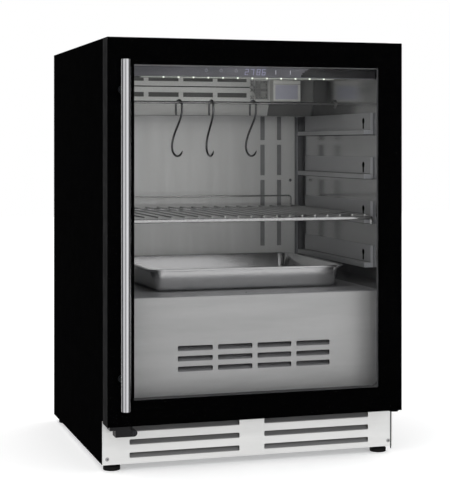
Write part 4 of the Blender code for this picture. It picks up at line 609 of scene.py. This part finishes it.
def make_tray():
    """The pressed tray: a rolled rim, sloping walls and a rounded base, with the sheet's two sides."""
    low, high = span("tray")
    rolled = [(0.4, high.z - 4.4), (0, high.z - 3.6), (0, high.z - 1.4), (0.4, high.z - 0.4), (1.4, high.z)]
    flat = [(TRAY_RIM - 1.4, high.z), (TRAY_RIM - 0.3, high.z - 0.5)]
    wall = [(TRAY_RIM + 0.4, high.z - 1.6)]
    corner = (TRAY_RIM + TRAY_TAPER + TRAY_BASE_ROUND, low.z + TRAY_SHEET + TRAY_BASE_ROUND)
    wall += arc(corner, TRAY_BASE_ROUND, 180, 270, 6)
    upper = rolled + flat + wall
    lower = [(inset + TRAY_SHEET, height) for inset, height in rolled[:3]]
    lower += [(inset + TRAY_SHEET, height - TRAY_SHEET) for inset, height in rolled[3:]]
    lower += [(inset, height - TRAY_SHEET) for inset, height in flat]
    lower += [(inset - TRAY_SHEET, height - TRAY_SHEET) for inset, height in wall]
    tray = Shape()
    edges = []
    for profile in (upper, lower):
        loops = []
        for inset, height in profile:
            corners = (low.x + inset, low.y + inset), (high.x - inset, high.y - inset)
            line = round_rectangle(*corners, TRAY_CORNER - inset, 8)
            loops.append([tray.bm.verts.new((x, y, height)) for x, y in line])
        for first, second in zip(loops, loops[1:]):
            tray.bridge(first, second, 0)
        tray.face(loops[-1], 0)
        edges.append(loops[0])
    tray.bridge(edges[0], edges[1], 0)
    tray.done("tray_pressed", TRAY_STEEL, "tray", "brushed_stainless", ("tray",))


# The figures by their left ends and lit bars, and heights from the panel's lower edge
FIGURE_SIZE = (7.0, 11.6)
FIGURE_BAR = 1.0
FIGURE_LEAN = 0.14
FIGURES = ((-8.6, "abdeg"), (2.6, "abc"), (15.6, "abcdefg"), (26.6, "acdefg"))
FIGURE_RISE = 4.2
MARK_PLACES = (-87, -57, -26)
MARK_RISE = 12
MARK_RADII = (3.2, 2.3)
TICK_PLACES = (56, 86.6)
SHADED_PART_FROM = 109
# The painted shade's stepped left edge: across from where it starts, and up from the panel's lower edge
SHADED_PART_STEPS = ((0, 5.5), (3.5, 6.5), (2.5, 9.5), (8, 11), (7.5, 13.5), (13, 14.5))
DISPLAY_THICK = 0.3


def seven_bars(shape, left, bottom, depth, lit):
    """One figure; lit holds the letters of its bars, from a at the top, clockwise, to g in the middle."""
    wide, tall = FIGURE_SIZE
    bar, half = FIGURE_BAR, tall / 2
    bars = {
        "a": (0, tall - bar, wide, tall),
        "b": (wide - bar, half, wide, tall),
        "c": (wide - bar, 0, wide, half),
        "d": (0, 0, wide, bar),
        "e": (0, 0, bar, half),
        "f": (0, half, bar, tall),
        "g": (0, half - bar / 2, wide, half + bar / 2),
    }
    for letter in lit:
        x0, z0, x1, z1 = bars[letter]
        corners = ((x0, z0), (x1, z0), (x1, z1), (x0, z1))
        outline = [(left + u + v * FIGURE_LEAN, bottom + v) for u, v in corners]
        shape.prism(outline, depth, depth + DISPLAY_THICK)


def make_display():
    """Painted shade on the panel's right end, four figures, three touch marks and two ticks."""
    low, high = span("control_fascia")
    depth = low.y - 0.4
    back = depth + DISPLAY_THICK
    right, top, bottom = high.x - 1, high.z - 0.8, low.z + 0.8
    # A dark grey plate on the panel's right end paints the shade that falls there.
    outline = [(right, top), (right, bottom), (SHADED_PART_FROM, bottom)]
    outline += [(SHADED_PART_FROM + across, low.z + up) for across, up in SHADED_PART_STEPS]
    outline.append((SHADED_PART_FROM + 18, top))
    dark = Shape().prism(outline, depth + 0.1, depth + 0.35)
    dark.done("fascia_painted_shade_part", FASCIA_PAINTED_SHADE, "cabinet", "fascia")
    figures = Shape()
    for left, lit in FIGURES:
        seven_bars(figures, left, low.z + FIGURE_RISE, depth, lit)
    figures.done("display_figures", DIGIT_GLOW, "cabinet", "light_cover")
    marks = Shape()
    level = low.z + MARK_RISE
    for x in MARK_PLACES:
        rings = [circle((x, level), radius, 16) for radius in MARK_RADII]
        marks.band(*rings, depth, back)
        marks.box((x - 0.5, depth, level - 0.6), (x + 0.5, back, level + 4.4))
    marks.done("display_marks", ICON_GLOW, "cabinet", "light_cover")
    ticks = Shape()
    for x in TICK_PLACES:
        ticks.box((x - 0.7, depth, level - 6), (x + 0.7, back, level + 2))
    ticks.done("display_ticks", TICK_GLOW, "cabinet", "light_cover")


LED_COUNT = 12
LED_PITCH = 30.2
LED_SHIFT = 3.0


def make_lights():
    """The strip's bright line and its row of light dots."""
    low, high = span("light_strip")
    line = Shape().box((low.x + 1, low.y - 0.25, low.z + 1.0), (high.x - 30, low.y + 0.1, low.z + 2.1))
    line.done("light_line", STRIP_GLOW, "cabinet", "light_cover")
    dome = [(0, -1.0), (1.3, -0.8), (2.1, -0.2), (2.1, 0), (0, 0)]
    dots = Shape()
    for index in range(LED_COUNT):
        x = LED_PITCH * (index - (LED_COUNT - 1) / 2) - LED_SHIFT
        dots.lathe(dome, (x, low.y, low.z + 1.6), "Y", 12)
    dots.done("light_dots", LED_GLOW, "cabinet", "light_cover")


# A louvre's reach back and its rise, and the slots' places from the piece's lower edge
COVER_LOUVRE = (7, 7.6)
PLINTH_LOUVRE = (8, 7.8)
LOUVRE_SETBACK = 1.3
LOUVRE_ROWS = 3
COVER_SLOT_COLUMNS = 4
COVER_SLOT_MIDDLE = 7
COVER_SLOT_PITCH = (80.7, 19.9)
COVER_SLOT_HALF = 34.8
COVER_SLOT_RISE = 54
PLINTH_SLOT_PITCH = 25
PLINTH_SLOT_ENDS = (25.7, 244.3)
PLINTH_SLOT_RISE = 10.9


def louvre(shape, depth, bottom, left, right, out, rise):
    """A blade that slopes up and back behind a slot."""
    outline = [(depth, bottom), (depth + out, bottom + rise), (depth + out - 0.8, bottom + rise + 0.6)]
    shape.prism(outline + [(depth, bottom + 1)], left, right, "X")


def make_louvres():
    """The blades behind the slots of the lower cover and of the plinth, in steel darkened as painted shade.
    """
    low = span("lower_cover")[0]
    across, up = COVER_SLOT_PITCH
    blades = Shape()
    for column in range(COVER_SLOT_COLUMNS):
        middle = COVER_SLOT_MIDDLE + (column - (COVER_SLOT_COLUMNS - 1) / 2) * across
        left, right = middle - COVER_SLOT_HALF, middle + COVER_SLOT_HALF
        for row in range(LOUVRE_ROWS):
            bottom = low.z + COVER_SLOT_RISE + up * row
            louvre(blades, low.y + LOUVRE_SETBACK, bottom, left, right, *COVER_LOUVRE)
    blades.done("cover_louvres", SHADED_LOUVRE_STEEL, "cabinet", "brushed_stainless")
    low = span("plinth_grille")[0]
    near, far = PLINTH_SLOT_ENDS
    blades = Shape()
    for left, right in ((-far, -near), (near, far)):
        for row in range(LOUVRE_ROWS):
            bottom = low.z + PLINTH_SLOT_RISE + PLINTH_SLOT_PITCH * row
            louvre(blades, low.y + LOUVRE_SETBACK, bottom, left, right, *PLINTH_LOUVRE)
    blades.done("plinth_louvres", SHADED_GRILLE_BLADE_STEEL, "cabinet", "brushed_stainless")


# Heights on the cooling unit: its slope's from its lowest edge, the rest from the slope's upper edge
UNIT_SLOPE = 30
UNIT_SEAM_HEIGHTS = (31.9, 34.1)
UNIT_SEAM_END = 120
UNIT_CATCH = (112.6, 130)
UNIT_SLOTS_END = 118
UNIT_SHADE_FROM = 233
UNIT_BAND_SHADE_FROM = 165
MESH_MIDDLE = 142
MESH_RISE = 27.5
MESH_PITCH = 5.8
MESH_HOLES = 8
MESH_HOLE_HALF = 1.2
SIDE_MARGIN = 0.3


def make_unit_details():
    """The cooling unit's seams and catch; painted shade on its right end and on the right of its slope, a
    painted shade line under the slope, and dark squares and a dark sheet that paint the shade in its mesh
    holes and behind its slots.
    """
    low, high = span("evaporator_cover")
    left, right = low.x + SIDE_MARGIN, high.x - SIDE_MARGIN
    fold = low.z + UNIT_SLOPE
    seams = Shape()
    bottom, top = [fold + height for height in UNIT_SEAM_HEIGHTS]
    seams.box((left, low.y - 0.28, bottom), (UNIT_SEAM_END, low.y - 0.02, top), 1)
    seams.box((left, low.y - 0.28, fold + 0.1), (right, low.y - 0.02, fold + 1.1), 1)
    start, end = UNIT_CATCH
    seams.box((start, low.y - 0.7, fold + 14.5), (end, low.y - 0.05, fold + 21.5), 0, 0.2)
    seams.done("unit_seams", [UNIT_STEEL, SEAM_AND_SHADE_BLACK], "cabinet", "brushed_stainless")
    dark = Shape()
    # A dark sheet behind the slots paints the shade inside them.
    dark.box((low.x + 60, low.y + 2.2, fold + 7.5), (UNIT_SLOTS_END, low.y + 3, high.z - 1.2))
    # Painted shade on the unit's right end.
    dark.box((UNIT_SHADE_FROM, low.y - 0.5, fold + 1.5), (right, low.y - 0.05, high.z - 0.5), 1)
    # Painted shade on the right part of the slope.
    slope = [(low.y + 0.2, fold - 0.3), (low.y - 0.4, fold - 0.3)]
    slope += [(low.y + 14.3, low.z + 0.1), (low.y + 15, low.z + 0.1)]
    dark.prism(slope, UNIT_BAND_SHADE_FROM, right, "X")
    # A painted shade line under the slope's lower edge.
    dark.box((left, low.y + 15.2, low.z - 0.7), (right, low.y + 16.4, low.z + 0.4))
    # Dark squares on the mesh paint the shade in its holes.
    places = [MESH_PITCH * (index - (MESH_HOLES - 1) / 2) for index in range(MESH_HOLES)]
    for x in [MESH_MIDDLE + place for place in places]:
        for z in [fold + MESH_RISE + place for place in places]:
            start = (x - MESH_HOLE_HALF, low.y - 0.3, z - MESH_HOLE_HALF)
            dark.box(start, (x + MESH_HOLE_HALF, low.y - 0.02, z + MESH_HOLE_HALF))
    dark.done("unit_painted_shade_parts", [UNIT_DARK, UNIT_END_SHADE], "cabinet", "dark_stainless")


DUCT_SHADE_SHEET_HALF = 235
DUCT_SHADE_SHEET_SETBACK = 3
SIDE_STRIPS = 4
SIDE_STRIP_PITCH = 3.5
SIDE_STRIP_HALF = 1.5


def make_duct_details():
    """A grey sheet behind the duct cover's slots that paints the shaded inside of the duct, and the narrow
    strips beside the cover.
    """
    low, high = span("rear_duct_cover")
    # The grey sheet paints the shaded inside of the duct, seen through the slots.
    inside = low.y + DUCT_SHADE_SHEET_SETBACK
    start = (-DUCT_SHADE_SHEET_HALF, inside, low.z + 51.9)
    duct = Shape().box(start, (DUCT_SHADE_SHEET_HALF, inside + 0.8, high.z - 3.7))
    duct.done("duct_inside_painted_shade", DUCT_INSIDE_SHADE, "cabinet", "brushed_stainless")
    top = span("evaporator_cover")[0].z - 1.5
    sides = Shape()
    for sign in (-1, 1):
        for index in range(SIDE_STRIPS):
            x = sign * (high.x + 1.6 + SIDE_STRIP_PITCH * index)
            start = (x - SIDE_STRIP_HALF, high.y - 2.2, low.z + 1)
            sides.box(start, (x + SIDE_STRIP_HALF, high.y - 0.2, top), 0, 0.3)
    sides.done("duct_side_strips", DUCT_SIDE, "cabinet", "dark_stainless")


def make_sensor_window():
    """The sensor box's blue window, with a dark line above it."""
    low, high = span("sensor_box")
    back = low.y + 0.1
    window = Shape().box((low.x + 5, low.y - 0.5, low.z + 4.5), (high.x - 7, back, high.z - 11), 0, 0.3)
    window.box((low.x + 1, low.y - 0.3, high.z - 9.5), (high.x - 1, back, high.z - 8.7), 1)
    window.done("sensor_window", [BOX_BLUE, UNIT_DARK], "cabinet", "grey_plastic")


SCREW_CROSS_SHARE = 0.55
SCREW_CROSS_HALF = 0.35
PLINTH_SCREW_RADIUS = 3.8
PLINTH_SCREW_INSET = 9.5
PLINTH_SCREW_HEIGHTS = (11, 75)
FLOOR_SCREW_RADIUS = 3.2
FLOOR_SCREW_RISE = 0.3
FLOOR_SCREW_PLACES = (-246, 0, 246)
FLOOR_SCREW_DEPTH = 85
DUCT_SCREW = (246, 537)
GAP_SHADE_STRIP_LOW = (292.4, 8)
GAP_SHADE_STRIP_HIGH = (295.2, 116)
REAR_SCREW_SIDE = 288
REAR_SCREW_LEVELS = (22, 150, 280, 300, 480, 660, 808)
REAR_SCREW_TOP_ROW = (-150, 0, 150)


def screw(shape, place, radius, axis, sign, rise=1.1):
    """A domed screw head with a cross drawn black as painted shade in its recess, on a face that looks along
    an axis.
    """
    peak = sign * rise
    profile = [(0, 0), (radius, 0), (radius * 0.9, peak * 0.5), (radius * 0.55, peak * 0.9), (0, peak)]
    shape.lathe(profile, place, axis, 16)
    along = Vector((0, sign, 0)) if axis == "Y" else Vector((0, 0, sign))
    # The cross is drawn as black boxes on the head: painted shade in its recess.
    arm, half = radius * SCREW_CROSS_SHARE, SCREW_CROSS_HALF
    for wide, tall in ((arm, half), (half, arm)):
        reach = Vector((wide, 0, tall)) if axis == "Y" else Vector((wide, tall, 0))
        middle = Vector(place) + along * rise * 0.95
        thick = Vector([abs(part) * rise * 0.12 for part in along])
        shape.box(middle - reach - thick, middle + reach + thick, 1)


def make_screws():
    """Screws of the plinth, floor plate, duct cover and rear, and a dark strip at the plinth's right edge
    that paints the shade of the gap there.
    """
    front = Shape()
    low, high = span("plinth_grille")
    for x in (low.x + PLINTH_SCREW_INSET, high.x - PLINTH_SCREW_INSET):
        for height in PLINTH_SCREW_HEIGHTS:
            screw(front, (x, low.y, low.z + height), PLINTH_SCREW_RADIUS, "Y", -1)
    top = span("floor_plate")[1].z
    for x in FLOOR_SCREW_PLACES:
        screw(front, (x, FLOOR_SCREW_DEPTH, top), FLOOR_SCREW_RADIUS, "Z", 1, FLOOR_SCREW_RISE)
    x, z = DUCT_SCREW
    screw(front, (x, span("rear_duct_cover")[0].y, z), PLINTH_SCREW_RADIUS, "Y", -1)
    # A dark strip at the plinth's right edge paints the shade of the gap there.
    (left, bottom), (right, top) = GAP_SHADE_STRIP_LOW, GAP_SHADE_STRIP_HIGH
    front.box((left, low.y - 0.2, bottom), (right, low.y + 0.1, top), 2)
    front.done("cabinet_screws", [SCREW_STEEL, SEAM_AND_SHADE_BLACK, FASCIA_PAINTED_SHADE], "cabinet", "brushed_stainless")
    rear = Shape()
    face = span("rear_panel")[1].y
    head = [(0, face - 0.9), (3.2, face - 0.9), (3.0, face - 0.05), (0, face - 0.01)]
    places = [(x, z) for x in (-REAR_SCREW_SIDE, REAR_SCREW_SIDE) for z in REAR_SCREW_LEVELS]
    places += [(x, REAR_SCREW_LEVELS[-1]) for x in REAR_SCREW_TOP_ROW]
    for x, z in places:
        rear.lathe(head, (x, 0, z), "Y", 16)
    rear.done("rear_screws", SCREW_STEEL, "cabinet", "galvanised")


KEYHOLE_SETBACK = 47
KEYHOLE_HALF = 8
RUNNER_EDGE_WIDTH = 5.4
RUNNER_EDGE_ROUND = 0.25


def runner_box(shape, across, depths, heights, mat=0, bevel=0.0):
    """A box from two ends across, in either order, and its depths and heights."""
    left, right = sorted(across)
    shape.box((left, depths[0], heights[0]), (right, depths[1], heights[1]), mat, bevel)


def make_runner_fronts():
    """Each runner's bent front edges, coloured lighter as a painted highlight; a black sheet that paints the
    shade in its keyhole; and painted shade lines under and over its ledge.
    """
    fronts = Shape()
    for side, sign in (("left", -1), ("right", 1)):
        for level in range(1, 5):
            low, high = span(f"runner_{side}_{level}")
            lip, plate = (high.x, low.x) if side == "left" else (low.x, high.x)
            front = (low.y - 0.9, low.y + 0.2)
            hole = (low.y + KEYHOLE_SETBACK - KEYHOLE_HALF, low.y + KEYHOLE_SETBACK + KEYHOLE_HALF)
            ledge = (low.y + 1, high.y - 1)
            # The bent front edges are real; their lighter colour is a painted highlight.
            runner_box(fronts, (lip, plate), front, (low.z + 0.1, low.z + 9.4), 0, RUNNER_EDGE_ROUND)
            across = (plate - sign * RUNNER_EDGE_WIDTH, plate)
            runner_box(fronts, across, front, (low.z + 8.5, high.z), 0, RUNNER_EDGE_ROUND)
            # A black sheet in the keyhole paints the shade in it.
            across = (plate - sign * 0.35, plate - sign * 1.4)
            runner_box(fronts, across, hole, (low.z + 9, high.z - 6), 1)
            # Painted shade: a black line under the ledge, and a dark grey line over it.
            across = (lip + sign * 2, plate - sign * 2.4)
            runner_box(fronts, across, ledge, (low.z - 0.9, low.z - 0.1), 1)
            across = (plate - sign * 2.2, plate - sign * 3.4)
            runner_box(fronts, across, ledge, (low.z + 9.2, low.z + 10.1), 2)
    fronts.done("runner_fronts", [RUNNER_EDGE_HIGHLIGHT, SEAM_AND_SHADE_BLACK, UNIT_DARK], "cabinet", "brushed_stainless")


INLET_PINS = ((0, 9), (-5, -5), (5, -5))


def make_inlet_pins():
    """The inlet's three flat pins, inside its socket."""
    low, high = span("power_inlet")
    centre = (low + high) / 2
    pins = Shape()
    for across, up in INLET_PINS:
        x, z = centre.x + across, centre.z + up
        pins.box((x - 1.2, high.y - 13, z - 3.2), (x + 1.2, high.y - 1, z + 3.2), 0, 0.3)
    pins.done("inlet_pins", SCREW_STEEL, "cabinet", "galvanised")


LOCK_FACE_RADIUS = 4.2


def make_lock_face():
    """The cylinder's dark metal face, with its key slot drawn black as painted shade."""
    low, high = span("lock_cylinder")
    front = low.y
    radius = (high.x - low.x) / 2
    x, z = low.x + radius, low.z + radius
    face = Shape()
    profile = [(0, front - 0.1), (LOCK_FACE_RADIUS - 0.6, front - 0.1), (LOCK_FACE_RADIUS, front + 0.3)]
    profile += [(LOCK_FACE_RADIUS, front + 0.8), (0, front + 0.8)]
    face.lathe(profile, (x, 0, z), "Y", 24)
    # The key slot is a black box: painted shade in the slot.
    face.box((x - 0.5, front - 0.2, z - 2.6), (x + 0.5, front + 0.2, z + 2.6), 1)
    face.done("lock_face", [POST_STEEL, SEAM_AND_SHADE_BLACK], "lock_cylinder", "chrome")


# The stem's root and crest radius and where its thread ends, and the ribs round the pad
THREAD_RADII = (4.3, 5.0)
THREAD_PITCH = 1.5
THREAD_END = 16
COLLAR_RADIUS = 9
RIB_COUNT = 18
RIB_HALF = 0.6


def make_feet():
    """The threaded stem, round collar and ribbed pad of each levelling foot."""
    root, crest = THREAD_RADII
    for name in ("foot_front_left", "foot_front_right", "foot_rear_left", "foot_rear_right"):
        low, high = span(name)
        x, y = (low.x + high.x) / 2, (low.y + high.y) / 2
        pad = (high.x - low.x) / 2
        profile = [(0, high.z), (crest - 0.6, high.z), (crest, high.z - 0.6)]
        for turn in range(int((high.z - THREAD_END) / THREAD_PITCH)):
            level = high.z - 1 - THREAD_PITCH * turn
            profile += [(root, level - 0.4), (crest, level - 1.1)]
        profile += [(COLLAR_RADIUS, 13), (COLLAR_RADIUS, 9.8), (pad - 6, 9.3), (pad - 0.9, 8.2)]
        profile += [(pad, 7.2), (pad, 1), (pad - 0.7, 0), (0, 0)]
        foot = Shape().lathe(profile, (x, y, 0), "Z", 36)
        for rib_x, rib_y in circle((x, y), pad - 0.9, RIB_COUNT):
            start = (rib_x - RIB_HALF, rib_y - RIB_HALF, 1.4)
            foot.box(start, (rib_x + RIB_HALF, rib_y + RIB_HALF, 6.9))
        foot.done(name + "_ribbed", FOOT_BLACK, name, "black_plastic", (name,))


FLOOR_REACH = 9.0
FLOOR_DROP = 0.3
FLOOR_WHITE = 0.3
# The studio's light walls, as polished metal shows them: bearing, half-width and soft edge in degrees, level
LIGHT_WALLS = ((-62, 3, 30, 0.9), (20, 5, 36, 1.0), (-20, 25, 35, 0.42), (180, 15, 40, 1.0))
DARK_STUDIO = 0.10


def make_floor():
    """A pale floor that keeps the shadow and fades into the white background."""
    mesh = bpy.data.meshes.new("floor")
    corners = [(x * FLOOR_REACH, y * FLOOR_REACH, 0) for x, y in ((-1, -1), (1, -1), (1, 1), (-1, 1))]
    mesh.from_pydata(corners, [], [(0, 1, 2, 3)])
    floor = bpy.data.objects.new("floor", mesh)
    floor.location.z = -FLOOR_DROP * MM
    floor.visible_glossy = False
    scene.collection.objects.link(floor)
    look = Look("floor_paper", (0.93, 0.93, 0.93), 0.9, 0.0, 0.0)
    look.tint(look.noise(2.0), 0.995, 1.005)
    rays = look.nodes.new("ShaderNodeLightPath")
    white = look.nodes.new("ShaderNodeMath")
    white.operation = "MULTIPLY"
    white.inputs[1].default_value = FLOOR_WHITE
    look.inputs["Emission Color"].default_value = (1, 1, 1, 1)
    look.links.new(rays.outputs["Is Camera Ray"], white.inputs[0])
    look.links.new(white.outputs[0], look.inputs["Emission Strength"])
    mesh.materials.append(look.material)


def make_world():
    """Even white light; polished metal also shows the studio's light walls and the dark between them."""
    world = bpy.data.worlds.new("studio")
    scene.world = world
    world.use_nodes = True
    nodes, links = world.node_tree.nodes, world.node_tree.links

    def maths(operation, first, second=0.0):
        node = nodes.new("ShaderNodeMath")
        node.operation = operation
        for socket, value in zip(node.inputs, (first, second)):
            if isinstance(value, float):
                socket.default_value = value
            else:
                links.new(value, socket)
        return node.outputs[0]

    rays = nodes.new("ShaderNodeLightPath")
    coordinates = nodes.new("ShaderNodeTexCoord")
    parts = nodes.new("ShaderNodeSeparateXYZ")
    links.new(coordinates.outputs["Generated"], parts.inputs[0])
    bearing = maths("ARCTAN2", parts.outputs["X"], maths("MULTIPLY", parts.outputs["Y"], -1.0))
    studio = DARK_STUDIO
    for centre, half_width, soft_edge, level in LIGHT_WALLS:
        offset = maths("SUBTRACT", bearing, math.radians(centre))
        wall = nodes.new("ShaderNodeMapRange")
        wall.interpolation_type = "SMOOTHSTEP"
        wall.inputs["From Min"].default_value = math.cos(math.radians(min(180, half_width + soft_edge)))
        wall.inputs["From Max"].default_value = math.cos(math.radians(half_width))
        wall.inputs["To Max"].default_value = level
        links.new(maths("COSINE", offset), wall.inputs["Value"])
        studio = maths("MAXIMUM", wall.outputs["Result"], studio)
    glossy = maths("MULTIPLY", rays.outputs["Is Glossy Ray"], studio)
    plain = maths("SUBTRACT", 1.0, rays.outputs["Is Glossy Ray"])
    links.new(maths("ADD", glossy, plain), nodes["Background"].inputs["Strength"])
    nodes["Background"].inputs["Color"].default_value = (1, 1, 1, 1)


def lamp(name, place, aim, size, power, colour=(1, 1, 1)):
    """A soft area lamp in metres and watts, turned to its aim and not shown in polished metal."""
    data = bpy.data.lights.new(name, "AREA")
    data.shape = "RECTANGLE"
    data.size, data.size_y = size
    data.energy = power
    data.color = colour
    obj = bpy.data.objects.new(name, data)
    obj.location = place
    obj.rotation_euler = (Vector(aim) - Vector(place)).to_track_quat("-Z", "Y").to_euler()
    obj.visible_glossy = False
    scene.collection.objects.link(obj)


def make_lamps():
    """Two large soft lamps outside, and the strip's own light inside."""
    middle = (0, 0, 0.4)
    size = (2.2, 2.2)
    lamp("lamp_left", (-2.6, -2.2, 2.2), middle, size, 16)
    lamp("lamp_right", (2.6, -1.8, 1.6), middle, size, 10, (0.92, 0.95, 1.0))
    low, high = span("light_strip")
    place = Vector(((low.x + high.x) / 2, high.y - 3, low.z - 1)) * MM + Vector((0, DEPTH_ZERO, 0))
    lamp("lamp_inside", place, place + Vector((0, 0.6, -0.8)), (0.36, 0.03), 0.5, (0.98, 1.0, 0.95))


# The camera that the photo's corners were fitted to, in millimetres of film, metres and degrees
CAMERA_LENS = 99.55
CAMERA_FILM = 36.0
CAMERA_SHIFT = -0.2044
CAMERA_PLACE = (-0.8398, -2.7761, 0.6193)
CAMERA_TILT = 89.87
CAMERA_TURN = -17.02


def make_camera():
    """The photo's view."""
    data = bpy.data.cameras.new("camera")
    data.lens = CAMERA_LENS
    data.sensor_width = CAMERA_FILM
    data.shift_y = CAMERA_SHIFT
    data.clip_start = 0.05
    camera = bpy.data.objects.new("camera", data)
    camera.location = CAMERA_PLACE
    camera.rotation_euler = (math.radians(CAMERA_TILT), 0.0, math.radians(CAMERA_TURN))
    scene.collection.objects.link(camera)
    scene.camera = camera


make_camera()
for node, (look, rounding) in FINISHES.items():
    dress(node, look, rounding)
make_door()
make_handle()
make_rail()
make_hooks()
make_shelf()
make_tray()
make_display()
make_lights()
make_louvres()
make_unit_details()
make_duct_details()
make_sensor_window()
make_screws()
make_runner_fronts()
make_inlet_pins()
make_lock_face()
make_feet()
make_floor()
make_world()
make_lamps()
scene.view_settings.view_transform = "Standard"
